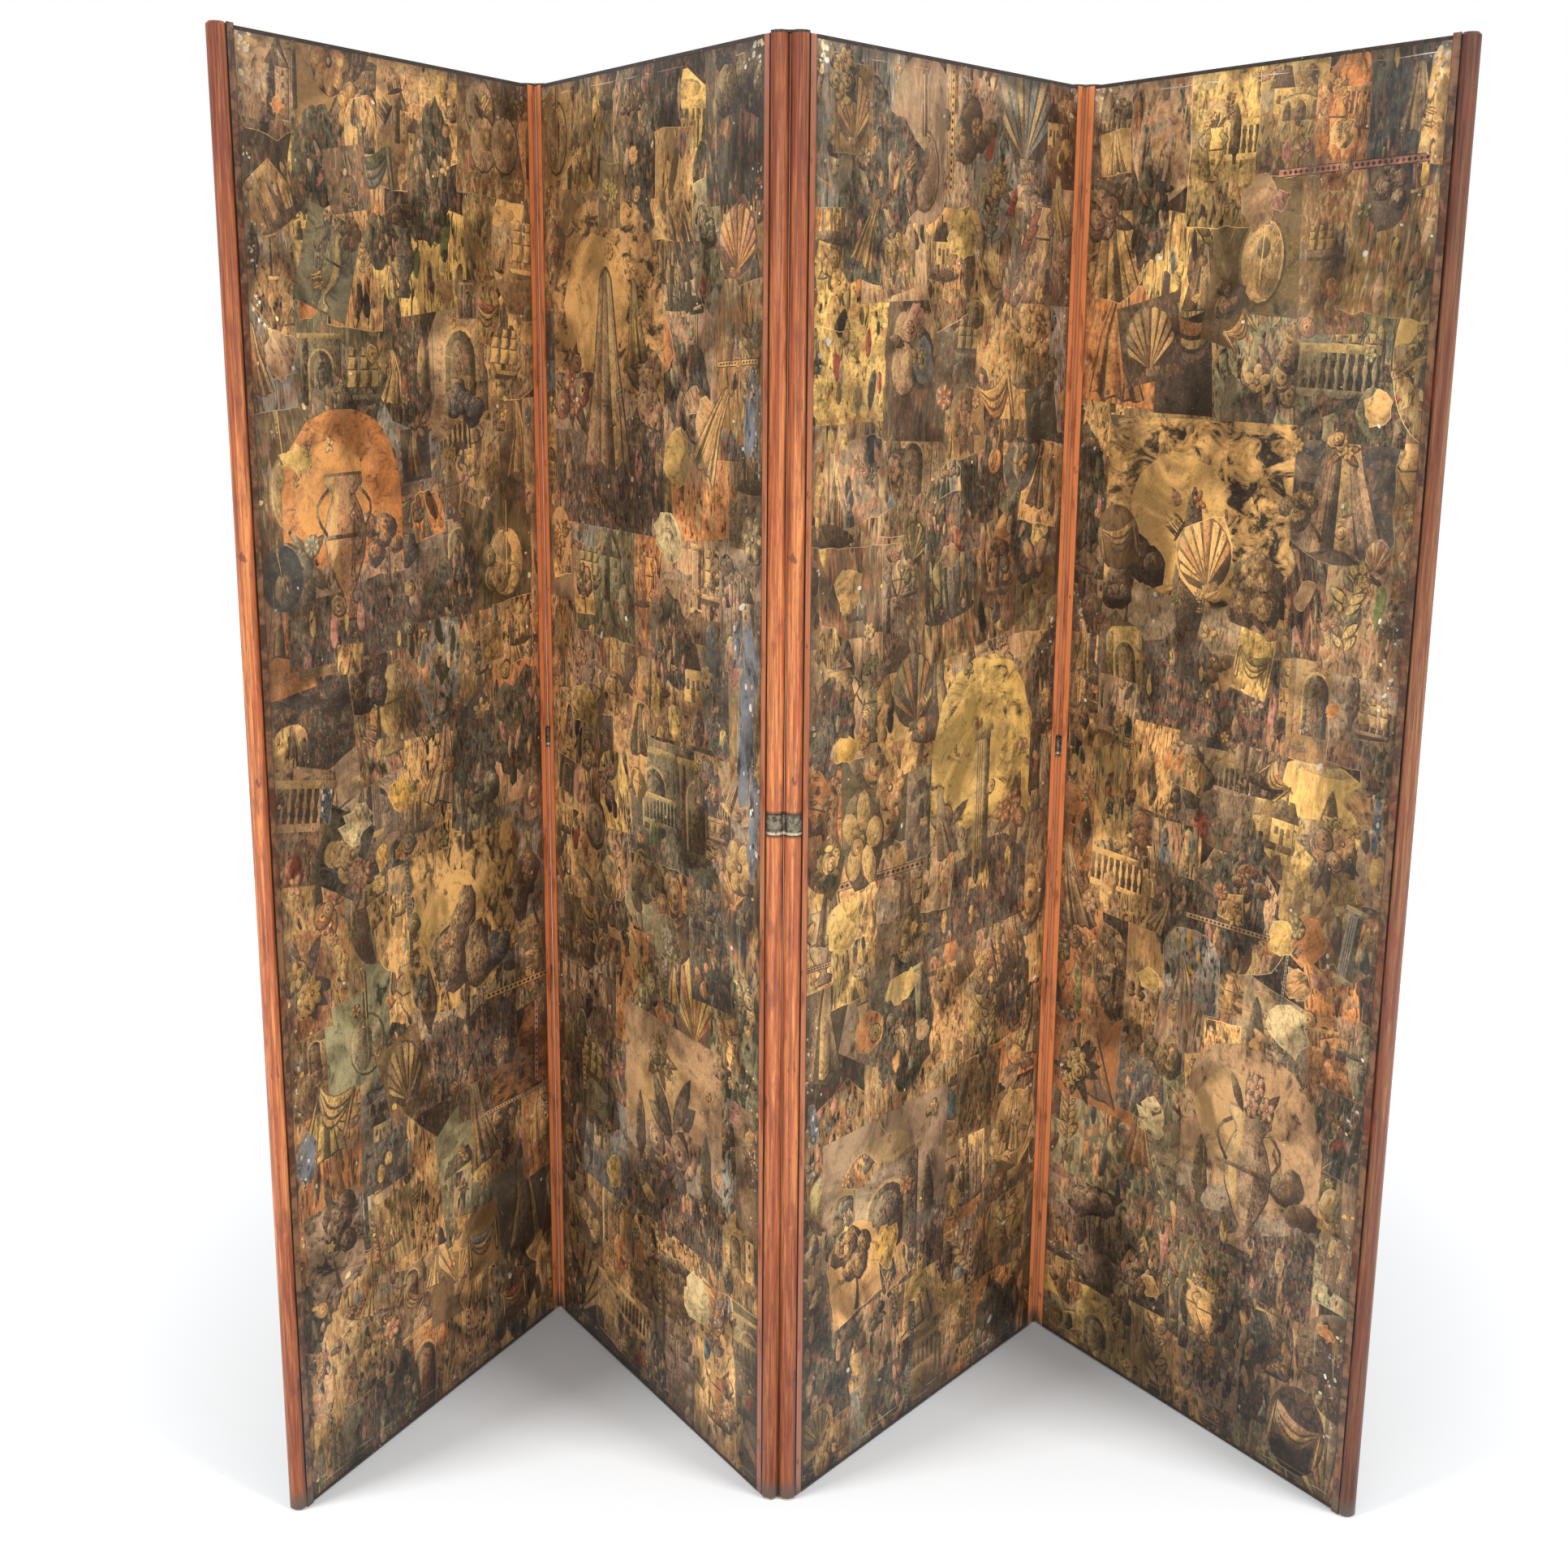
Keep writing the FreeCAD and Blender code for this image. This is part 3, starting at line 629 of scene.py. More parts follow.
def balustrade(chance):
    yield box(-0.5, 0.12, 0.5, 0.2), "light", 0.2, 0.4
    yield box(-0.5, -0.3, 0.5, -0.22), "paper", 0.2, 0.4
    yield box(-0.5, -0.22, 0.5, 0.12), "ink", 0.4, 0.3
    profile = [(0.022, -0.22), (0.024, -0.18), (0.012, -0.14), (0.034, -0.04), (0.014, 0.06), (0.022, 0.12)]
    for step in range(9):
        x = -0.44 + step * 0.11
        yield [(x + w, z) for w, z in mirrored(profile)], "paper", 0.2, 0.3


LOOSE_MOTIFS = (leafy_sprig, nosegay, nosegay, rose, flower_head, urn, tree, tree, fruit, scallop_shell,
                draped_cloth, draped_cloth, draped_cloth, bulrushes, bulrushes, bulrushes, swag, lute,
                butterfly, small_bird, scrollwork, column, leafy_sprig)
SCENE_MOTIFS = (tree, poplar, tower, cottage, sailing_ship, archway, bridge, column, urn, tree, balustrade,
                bulrushes)
STUDY_MOTIFS = (urn, nosegay, draped_cloth, scallop_shell, archway, tree, lute, swag, fruit, draped_cloth)
SMALL_MOTIFS = (flower_head, rose, leafy_sprig, leafy_sprig, fruit, butterfly, bulrushes)


def shape_span(outline):
    """Middle and half size of an outline."""
    xs, zs = [x for x, _ in outline], [z for _, z in outline]
    return ((min(xs) + max(xs)) / 2, (min(zs) + max(zs)) / 2,
            max(max(xs) - min(xs), 0.001) / 2, max(max(zs) - min(zs), 0.001) / 2)


MAP_CORNER = (0.29, 0.01)   # how far the maps of a face reach to the left of its middle and below its foot


def map_cells(points, cell, size):
    """The cells of a map that points lie in."""
    return np.clip(((points + MAP_CORNER) / cell).astype(int), 0, np.array(size) - 1)


class Collage:
    """The scraps pasted on one face of a leaf, from the lowest to the topmost."""

    LEVEL_CELL, LEVEL_MAP = 0.004, (150, 460)
    MOST_STEP, MOST_DEPTH = 0.00003, 0.00034    # between two levels, and of all the levels together

    def __init__(self, seed):
        self.chance = random.Random(seed)
        self.scraps = []

    def paste(self, outline, paper, ink, share=0.3, hatch=0.4, window=-1, turn=0.0, fine=1.0,
              stretch=(1.0, 1.0), fresh=False, crowd=0.0, volume=0.25):
        """Add a shape to the scrap in hand, or begin a fresh scrap with it. share is how much of it is dark
        ink, hatch how strongly it is hatched, fine its scale, crowd how far its printing is a mass of small
        upright streaks, volume how strongly it is shaded from light to dark as a round thing, and window the
        shape that it stays within."""
        if fresh:
            self.scraps.append([])
        scrap = self.scraps[-1]
        seed = self.chance.uniform(0, 90)
        scrap.append((outline, paper, ink, share, hatch, window, turn, fine, stretch, seed, crowd, volume))
        return len(scrap) - 1

    def flake(self, x, z, size, least, most, points, tones, share):
        """A small flake by itself on top of the rest, from least to most times as long as it is wide."""
        chance = self.chance
        chip = oval(x, z, size, size * chance.uniform(least, most), chance.uniform(0, 3), points, 0.3, chance)
        self.paste(chip, chance.choice(tones), TAN, share, 0, fresh=True)

    def colours(self):
        """Paper, ink and accent of one print."""
        pick = self.chance
        paper = pick.choice((AMBER, AMBER, OCHRE, OCHRE, ORANGE, TAN, TAN, STRAW, DUN, OLIVE, GREY))
        ink = pick.choice((UMBER, UMBER, SOOT, BROWN, SLATE, PINE))
        accent = pick.choice((ORANGE, ORANGE, AMBER, RED, ROSE, GREEN, TEAL, GOLD, STRAW, TAN))
        light = pick.choice((0.3, 0.5, 0.75, 1.0, 1.15, 1.25, 1.35))
        return tuple(c * light for c in paper), ink, accent

    def place_motif(self, motif, x, z, size, turn, colours, window=-1, flip=1, tall=1.0):
        """A motif within a print, or as a cut-out of its own where it has no window."""
        paper, ink, accent = colours
        tones = {"paper": paper, "mid": blended(paper, ink, 0.5), "ink": blended(paper, ink, 0.88),
                 "light": blended(paper, STRAW, 0.5), "accent": blended(paper, accent, 0.75)}
        crowds = {"paper": 0.55, "mid": 0.75, "accent": 0.6, "light": 0.35, "ink": 0.3}
        if window < 0:
            self.scraps.append([])
        for outline, tone, share, hatch in list(motif(self.chance)):
            placed = laid([(u * size * flip, v * size * tall) for u, v in outline], x, z, turn)
            dark = blended(ink, SOOT, 0.5) if tone == "ink" else ink
            self.paste(placed, tones[tone], dark, share, hatch, window, turn, 2.4, crowd=crowds[tone],
                       volume=0.9)

    def print_frame(self, x, z, wide, tall, turn, shape, paper, ink, torn, crowd=0.0):
        """The cut-out paper of one print; returns the index of its face."""
        chance = self.chance
        ragged = torn > 0.001
        margin = 0.0009 if ragged else 0.0004
        if shape == "oval":
            rim = oval(x, z, wide / 2, tall / 2, turn, 30)
            face = oval(x, z, wide / 2 - margin, tall / 2 - margin, turn, 30)
        else:
            rim = self.sheet_edge(x, z, wide, tall, turn, shape, torn)
            face = swell(rim, -margin)
        edge = blended(paper, CREAM, 0.25) if ragged else blended(paper, ink, 0.6)
        self.paste(rim, edge, blended(edge, ink, 0.5), 0.2, 0.0, fresh=True)
        return self.paste(face, paper, ink, chance.uniform(0.1, 0.5), 0.5, -1, turn, chance.uniform(0.7, 1.3),
                          chance.choice(((1, 1), (1, 0.5), (0.7, 1))), crowd=crowd)

    def sheet_edge(self, x, z, wide, tall, turn, shape, torn):
        """The outline of a sheet of paper, cut straight, arched or by eye, and torn by so much."""
        chance = self.chance
        corners = [(-0.5, -0.5), (0.5, -0.5), (0.5, 0.5), (-0.5, 0.5)]
        if shape == "arched":
            arch = [(0.5, -0.5), (0.5, 0.2), (0.42, 0.36), (0.28, 0.46), (0.1, 0.5)]
            corners = [(-0.5, -0.5), *arch, *[(-u, v) for u, v in arch[:0:-1]]]
        elif shape == "cut":
            angles = [k * 2 * math.pi / 9 for k in range(9)]
            corners = [(0.5 * chance.uniform(0.75, 1.1) * math.cos(a),
                        0.5 * chance.uniform(0.75, 1.1) * math.sin(a)) for a in angles]
        out = []
        for (u0, v0), (u1, v1) in zip(corners, corners[1:] + corners[:1]):
            steps = max(2, int(math.hypot((u1 - u0) * wide, (v1 - v0) * tall) / 0.016))
            for step in range(steps):
                t = step / steps
                out.append(((u0 + (u1 - u0) * t) * wide + chance.uniform(-1, 1) * torn,
                            (v0 + (v1 - v0) * t) * tall + chance.uniform(-1, 1) * torn))
        return laid(out, x, z, turn)

    def land(self, window, x, z, wide, tall, turn, level, paper, ink, share):
        """A band of ground across a print, with a wandering top edge."""
        chance = self.chance
        top = [(0.55 - step * 1.1 / 8, level + chance.uniform(-0.06, 0.06)) for step in range(9)]
        placed = laid([(u * wide, v * tall) for u, v in [(-0.55, -0.55), (0.55, -0.55), *top]], x, z, turn)
        self.paste(placed, paper, ink, share, 0.8, window, turn, 1.2, crowd=chance.uniform(0.4, 1.0))

    def scene_print(self, x, z, wide, tall, turn):
        """A view: sky, far hills, ground and a few things standing in it."""
        chance = self.chance
        paper, ink, accent = self.colours()
        shape = chance.choice(("plain", "plain", "plain", "arched", "oval", "cut"))
        crowd = chance.choice((0.0, 0.2, 0.6, 0.9))
        torn = chance.choice((0.0003, 0.0006, 0.002))
        face = self.print_frame(x, z, wide, tall, turn, shape, paper, ink, torn, crowd)

        def spot(reach, low, high):
            u, v = chance.uniform(-reach, reach), chance.uniform(low, high)
            return laid([(u * wide, v * tall)], x, z, turn)[0]

        for _ in range(4):
            cx, cz = spot(0.45, 0.15, 0.48)
            cloud = oval(cx, cz, wide * chance.uniform(0.1, 0.26), tall * 0.05, turn, 10, 0.2, chance)
            tone = blended(paper, chance.choice((STRAW, GREY, ink)), 0.35)
            self.paste(cloud, tone, ink, 0.2, 0.7, face, turn, crowd=crowd, volume=0.6)
        self.land(face, x, z, wide, tall, turn, 0.08, blended(paper, GREY, 0.55), ink, 0.35)
        self.land(face, x, z, wide, tall, turn, -0.04, blended(paper, ink, 0.35), ink, 0.4)
        for _ in range(chance.choice((2, 3, 3, 4))):
            cx, cz = spot(0.36, -0.08, 0.1)
            size = min(wide, tall) * chance.uniform(0.4, 0.75)
            self.place_motif(chance.choice(SCENE_MOTIFS), cx, cz, size, turn, (paper, ink, accent), face,
                             chance.choice((-1, 1)))
        self.land(face, x, z, wide, tall, turn, -0.26, blended(paper, ink, 0.6), ink, 0.45)
        for _ in range(5):
            cx, cz = spot(0.48, -0.5, -0.2)
            size = min(wide, tall) * chance.uniform(0.05, 0.13)
            tone = chance.choice((ink, accent, blended(paper, ink, 0.4), paper))
            form = oval(cx, cz, size * 0.9, size * 1.3, turn, 10, 0.25, chance)
            self.paste(form, tone, ink, 0.4, 0.7, face, turn, crowd=0.6, volume=0.9)

    def crowded_print(self, x, z, wide, tall, turn):
        """A dense mass of leaves and stems, with a few clear shapes before it."""
        chance = self.chance
        paper, ink, accent = self.colours()
        shape = chance.choice(("plain", "plain", "cut", "arched"))
        torn = chance.choice((0.0004, 0.0015, 0.003))
        face = self.print_frame(x, z, wide, tall, turn, shape, paper, ink, torn, 1.0)
        tones = (paper, blended(paper, STRAW, 0.5), ink, blended(paper, ink, 0.5), accent,
                 blended(paper, SOOT, 0.8))
        for _ in range(int(3 + 900 * wide * tall)):
            u, v = chance.uniform(-0.5, 0.5) * wide, chance.uniform(-0.5, 0.5) * tall
            size = chance.uniform(0.005, 0.016)
            tone = chance.choice(tones)
            cx, cz = laid([(u, v)], x, z, turn)[0]
            leaf = oval(cx, cz, size * 0.6, size * chance.uniform(1.0, 2.2), turn + chance.gauss(0, 0.2), 9,
                        0.25, chance)
            self.paste(leaf, tone, ink, chance.uniform(0.1, 0.5), 0.5, face, turn,
                       crowd=chance.choice((0.0, 0.5, 1.0)), volume=0.9)
        for _ in range(chance.choice((0, 1, 2))):
            motif = chance.choice((bulrushes, tree, urn, draped_cloth, leafy_sprig, nosegay))
            cx, cz = x + chance.uniform(-0.3, 0.3) * wide, z + chance.uniform(-0.2, 0.2) * tall
            self.place_motif(motif, cx, cz, min(wide, tall) * chance.uniform(0.5, 0.8), turn, self.colours(),
                             face)

    def study_print(self, x, z, wide, tall, turn):
        """One thing, large, on a plain or dark ground."""
        chance = self.chance
        paper, ink, accent = self.colours()
        ground = blended(paper, ink, 0.82 if chance.random() < 0.35 else 0.1)
        shape = chance.choice(("plain", "plain", "oval", "arched", "cut"))
        torn = chance.choice((0.0003, 0.0006, 0.002))
        face = self.print_frame(x, z, wide, tall, turn, shape, ground, ink, torn,
                                chance.choice((0.0, 0.0, 0.4, 0.8)))
        self.place_motif(chance.choice(STUDY_MOTIFS), x, z, min(wide, tall) * 0.95, turn,
                         (paper, ink, accent), face, chance.choice((-1, 1)),
                         min(1.3, tall / wide) if tall > wide else 1.0)

    def feature_print(self, x, z, wide, tall, motif, shape, paper, ink):
        """One of the few large prints: a plain toned ground, a dark foot and a tall thing standing on it."""
        chance = self.chance
        face = self.print_frame(x, z, wide, tall, 0.0, shape, paper, ink, 0.0004)
        glow = oval(x - wide * 0.1, z + tall * 0.18, wide * 0.3, tall * 0.2, 0.3, 18, 0.12, chance)
        self.paste(glow, blended(paper, STRAW, 0.25), ink, 0.15, 0.2, face)
        self.land(face, x, z, wide, tall, 0.0, -0.10, blended(paper, GREY, 0.6), ink, 0.3)
        self.land(face, x, z, wide, tall, 0.0, -0.18, blended(SLATE, DUN, 0.25), SOOT, 0.4)
        for side in (-1, 1):
            self.place_motif(chance.choice((tree, nosegay, poplar)), x + side * wide * 0.34, z - tall * 0.08,
                             wide * 0.42, 0.0, self.colours(), face, side)
        self.place_motif(motif, x, z - tall * 0.02, wide * 0.62, 0.0, (blended(paper, GREY, 0.3), ink, ROSE),
                         face, 1, min(2.0, tall / wide))
        for _ in range(14):
            size = chance.uniform(0.006, 0.014)
            cx, cz = x + chance.uniform(-0.5, 0.5) * wide, z - tall * chance.uniform(0.26, 0.5)
            petal = oval(cx, cz, size * 0.6, size * 1.6, 0, 9, 0.2, chance)
            self.paste(petal, chance.choice((TAN, ROSE, STRAW, SLATE)), SOOT, 0.4, 0.5, face, crowd=0.8)

    def border_strip(self, x, z, wide, long, turn):
        """A narrow cut border: a light band with a row of small dark lozenges and ruled edges."""
        chance = self.chance
        paper = chance.choice((STRAW, AMBER, TAN, ROSE, GREY))
        band = box(-wide / 2, -long / 2, wide / 2, long / 2)
        rule = box(-wide / 2 - 0.001, -long / 2, wide / 2 + 0.001, long / 2)
        self.paste(laid(rule, x, z, turn), UMBER, SOOT, 0.4, 0, fresh=True)
        self.paste(laid(band, x, z, turn), paper, UMBER, 0.25, 0.3, -1, turn, crowd=0.3)
        pitch = wide * chance.uniform(0.8, 1.4)
        reach = wide * 0.34
        for step in range(int(long / pitch)):
            v = -long / 2 + (step + 0.5) * pitch
            lozenge = [(-reach, v), (0, v - pitch * 0.36), (reach, v), (0, v + pitch * 0.36)]
            self.paste(laid(lozenge, x, z, turn), UMBER, SOOT, 0.4, 0)

    def plain_patch(self, x, z, size, turn, paper, ink, torn=0.003):
        """A torn or cut piece of plain paper."""
        chance = self.chance
        rim = self.sheet_edge(x, z, size, size * chance.uniform(0.5, 1.2), turn, "cut", torn)
        self.paste(rim, blended(paper, CREAM, 0.25), ink, 0.1, 0.0, fresh=True)
        self.paste(swell(rim, -0.0009), paper, ink, chance.uniform(0.15, 0.45), 0.5, -1, turn,
                   crowd=chance.uniform(0.2, 0.8), volume=0.6)

    def dark_mass(self, x, z, size):
        """A cut-out of foliage or rock gone almost black under the varnish."""
        chance = self.chance
        tone = chance.choice((SLATE, PINE, UMBER, SOOT))
        mass = oval(x, z, size * chance.uniform(0.4, 0.8), size * chance.uniform(0.6, 1.1),
                    chance.gauss(0, 0.2), 36, 0.3, chance)
        self.paste(mass, blended(tone, OLIVE, 0.25), SOOT, 0.5, 0.4, fresh=True, crowd=0.7, volume=0.5)
        for _ in range(12):
            u, v = chance.gauss(0, 0.3) * size, chance.gauss(0, 0.4) * size
            leaf = oval(x + u, z + v, size * 0.05, size * chance.uniform(0.08, 0.2), chance.gauss(0, 0.3), 10,
                        0.3, chance)
            self.paste(leaf, chance.choice((TAN, OCHRE, DUN, ROSE, OLIVE)), UMBER, 0.4, 0.5, 0, crowd=0.6,
                       volume=0.9)

    def wear(self):
        """Flakes, specks, scratches and the rubbed lines along the margins."""
        chance = self.chance
        for _ in range(90):
            x, z = chance.uniform(-0.272, 0.272), chance.uniform(0.01, 1.77)
            if chance.random() < 0.45:
                x = math.copysign(0.277 - abs(chance.gauss(0, 0.02)), x)
            size = abs(chance.gauss(0.0008, 0.0012)) + 0.0006
            tone = chance.choice((CHIP, CHIP, CREAM, STRAW, LINING))
            chip = oval(x, z, size, size * chance.uniform(0.6, 1.8), chance.uniform(0, 3), 7, 0.25, chance)
            self.paste(chip, tone, tone, 0, 0, fresh=True)
        for side in (-1, 1):
            for _ in range(9):
                low = chance.uniform(0.05, 1.65)
                for _ in range(chance.choice((3, 6, 10))):
                    x, z = side * (0.274 - abs(chance.gauss(0, 0.012))), low + chance.gauss(0, 0.03)
                    size = chance.uniform(0.0006, 0.0024)
                    self.flake(x, z, size, 0.6, 1.9, 8, (CHIP, CHIP, CREAM, LINING), 0.1)
            for _ in range(16):
                x, z = side * (0.275 - abs(chance.gauss(0, 0.014))), 1.775 - abs(chance.gauss(0, 0.02))
                size = chance.uniform(0.0008, 0.0042)
                self.flake(x, z, size, 0.5, 2.0, 9, (CHIP, CREAM, LINING), 0.2)
        for _ in range(46):
            x, z, lean = chance.uniform(-0.27, 0.27), chance.uniform(0.01, 1.77), chance.gauss(0, 0.6)
            length = chance.uniform(0.008, 0.05)
            ends = x + math.sin(lean) * length, z + math.cos(lean) * length
            path = bow(x, z, *ends, chance.uniform(-0.1, 0.1))
            tone = chance.choice((TAN, DUN, STRAW, SOOT, SOOT))
            self.paste(ribbon(path, [0.0002, 0.0007, 0.0009, 0.0005, 0.0002]), tone, tone, 0, 0, fresh=True)
        for x in (-0.262, 0.263):
            z = 0.02
            while z < 1.74:
                length = chance.uniform(0.01, 0.07)
                if chance.random() < 0.5:
                    path = [(x + chance.uniform(-1, 1) * 0.0008, z + length * k / 3) for k in range(4)]
                    self.paste(ribbon(path, [0.0003, 0.0011, 0.0009, 0.0003]), DUN, BROWN, 0.3, 0, fresh=True)
                z += length + chance.uniform(0.0, 0.05)
        for z in (0.018, 0.026, 1.762):
            x = -0.26
            while x < 0.25:
                length = chance.uniform(0.01, 0.08)
                if chance.random() < 0.75:
                    path = [(x + length * k / 3, z + chance.uniform(-1, 1) * 0.0008) for k in range(4)]
                    tone = chance.choice((DUN, TAN, CHIP))
                    self.paste(ribbon(path, [0.0003, 0.0013, 0.001, 0.0003]), tone, BROWN, 0.3, 0, fresh=True)
                x += length + chance.uniform(0.0, 0.03)

    def loss(self, x, z, wide, tall):
        """A place where the paper is gone and the grey lining shows, with a torn pale rim."""
        chance = self.chance
        for _ in range(3):
            cx, cz = x + chance.uniform(-0.25, 0.25) * wide, z + chance.uniform(-0.3, 0.3) * tall
            rim = oval(cx, cz, wide * 0.42, tall * 0.36, 0.0, 34, 0.34, chance)
            self.paste(swell(rim, 0.0014), blended(TAN, CREAM, 0.25), BROWN, 0.5, 0.2, fresh=True, crowd=0.5)
            self.paste(rim, LINING, SLATE, 0.38, 0.0, stretch=(1, 0.35))
        for _ in range(10):
            size = chance.uniform(0.0008, 0.003)
            cx, cz = x + chance.uniform(-0.5, 0.5) * wide, z + chance.uniform(-0.5, 0.5) * tall
            chip = oval(cx, cz, size, size * 1.5, 0, 8, 0.3, chance)
            self.paste(chip, chance.choice((CHIP, UMBER, TAN)), LINING, 0.2, 0, fresh=True)

    def cover(self, prints, loose, small, features=()):
        """The whole face: prints edge to edge, a few large ones, then cut-outs, borders and small scraps."""
        chance = self.chance
        self.paste(box(-0.279, 0.0, 0.279, LEAF_HEIGHT), BROWN, SOOT, 0.5, 0.5, fresh=True, crowd=1.0)
        makers = (self.scene_print, self.scene_print, self.study_print,
                  self.crowded_print, self.crowded_print)
        step = LEAF_HEIGHT / prints
        for row in range(prints):
            x = -0.29
            while x < 0.29:
                wide = chance.uniform(0.08, 0.22)
                tall = step * chance.uniform(1.1, 1.6)
                cx, cz = x + wide * 0.42, step * (row + 0.5) + chance.uniform(-0.03, 0.03)
                chance.choice(makers)(cx, cz, wide, tall, chance.gauss(0, 0.06))
                x += wide * 0.8
        for _ in range(11):
            x, z = chance.uniform(-0.26, 0.26), 1.7 * chance.random() ** 1.5 + 0.03
            self.dark_mass(x, z, chance.uniform(0.05, 0.13))
        for _ in range(16):
            colour = chance.choice((AMBER, ORANGE, OCHRE, STRAW, TAN, ROSE))
            x, z = chance.uniform(-0.25, 0.25), chance.uniform(0.05, 1.72)
            self.plain_patch(x, z, chance.uniform(0.02, 0.07), chance.uniform(0, 3), colour, BROWN)
        for index in range(loose):
            if index == loose * 2 // 3:
                for feature in features:
                    self.feature_print(*feature)
            x, z = chance.uniform(-0.26, 0.26), chance.uniform(0.03, 1.75)
            size = chance.uniform(0.035, 0.1)
            lot = chance.random()
            if lot < 0.2:
                self.study_print(x, z, size * 1.1, size * chance.uniform(1.0, 1.5), chance.gauss(0, 0.15))
            elif lot < 0.45:
                self.crowded_print(x, z, size * 1.1, size * chance.uniform(0.8, 1.8), chance.gauss(0, 0.1))
            elif lot < 0.55:
                turn = chance.choice((0.0, 0.0, math.pi / 2)) + chance.gauss(0, 0.05)
                self.border_strip(x, z, chance.uniform(0.004, 0.009), chance.uniform(0.06, 0.22), turn)
            else:
                self.place_motif(chance.choice(LOOSE_MOTIFS), x, z, size, chance.gauss(0, 0.3),
                                 self.colours(), -1, chance.choice((-1, 1)), chance.uniform(0.9, 1.5))
        for _ in range(small):
            x, z = chance.uniform(-0.27, 0.27), chance.uniform(0.01, 1.77)
            motif = chance.choice(SMALL_MOTIFS)
            self.place_motif(motif, x, z, chance.uniform(0.012, 0.034), chance.gauss(0, 0.8), self.colours())
        for _ in range(4):
            colour = chance.choice((CREAM, STRAW, GOLD))
            x, z = chance.uniform(-0.22, 0.22), chance.uniform(0.2, 1.5)
            size = chance.uniform(0.04, 0.09)
            self.plain_patch(x, z, size, chance.uniform(-0.3, 0.3), colour, UMBER, 0.005)

    def levels(self):
        """How many scraps deep each scrap lies, so that it is just above all that it crosses."""
        depth = np.zeros(self.LEVEL_MAP, int)
        for scrap in self.scraps:
            points = np.array([point for cut in scrap for point in cut[0]])
            span = np.array([points.min(0), points.max(0)])
            (x0, z0), (x1, z1) = map_cells(span, self.LEVEL_CELL, self.LEVEL_MAP)
            crossed = depth[x0:x1 + 1, z0:z1 + 1]
            crossed[:] = crossed.max() + 1
            yield crossed[0, 0]

    def patch(self, scrap):
        """One scrap as a single flat layer: each face belongs to the topmost shape that lies over it."""
        corners, rings = [], []
        for outline in [box(-CANVAS_HALF, CANVAS_FOOT, CANVAS_HALF, CANVAS_HEAD)] + [cut[0] for cut in scrap]:
            rings.append(list(range(len(corners), len(corners) + len(outline))))
            corners += [Vector(point) for point in (outline if turns_left(outline) else outline[::-1])]
        inside = all(abs(v.x) < CANVAS_HALF and CANVAS_FOOT < v.y < CANVAS_HEAD for v in corners[4:])
        if inside:
            corners, rings = corners[4:], [[k - 4 for k in ring] for ring in rings[1:]]
        found, _, pieces, _, _, over = delaunay_2d_cdt(corners, [], rings, 0, 1e-6)
        kept, tops = [], []
        for piece, layers in zip(pieces, over):
            a, b, c = (found[k] for k in piece)
            if abs((b - a).cross(c - a)) < 2 * SLIVER:
                continue
            if inside:
                layers = [layer + 1 for layer in layers]
            elif 0 not in layers:
                continue
            for layer in sorted(layers, reverse=True):
                if layer and (scrap[layer - 1][5] < 0 or scrap[layer - 1][5] + 1 in layers):
                    kept.append(piece)
                    tops.append(layer - 1)
                    break
        used = sorted({k for piece in kept for k in piece})
        place = {k: index for index, k in enumerate(used)}
        return [(found[k].x, found[k].y) for k in used], [[place[k] for k in piece] for piece in kept], tops

    def mesh(self, name, stand, back):
        """All scraps as one mesh, each a hair above those that it covers."""
        levels = list(self.levels())
        step = min(self.MOST_STEP, self.MOST_DEPTH / max(levels))
        flat, heights, faces, cuts = [], [], [], []
        covered = Cover()
        for scrap, level in zip(reversed(self.scraps), reversed(levels)):
            if covered.hides([cut[0] for cut in scrap[:1]]).all() and all(cut[5] >= 0 for cut in scrap[2:]):
                continue
            points, kept, tops = self.patch(scrap)
            hidden = covered.hides([[points[k] for k in piece] for piece in kept])
            covered.add(scrap[0][0])
            first = len(flat)
            flat += points
            heights += [level * step] * len(points)
            faces += [[first + k for k in face] for face, gone in zip(kept, hidden) if not gone]
            cuts += [scrap[top] for top, gone in zip(tops, hidden) if not gone]
        flat = np.array(flat)
        turn = np.array(stand @ Matrix.Rotation(math.pi if back else 0.0, 4, "Z"))
        places = np.stack([flat[:, 0], -CANVAS_FACE - np.array(heights), flat[:, 1]], 1)
        mesh = bpy.data.meshes.new(name)
        mesh.from_pydata((places @ turn[:3, :3].T + turn[:3, 3]).tolist(), [], faces)
        self.mark(mesh, flat, faces, cuts)
        mesh.update()
        made = bpy.data.objects.new(name, mesh)
        bpy.context.scene.collection.objects.link(made)
        drop_loose_points(made)
        return made

    def mark(self, mesh, flat, faces, cuts):
        """Write what the shader reads: the inks and weights of each face, and how its printing lies."""
        def write(key, kind, domain, field, values):
            mesh.attributes.new(key, kind, domain).data.foreach_set(field, values.astype(np.float32).ravel())

        def at_corners(rows):
            return np.repeat(np.array(rows), [len(face) for face in faces], axis=0)

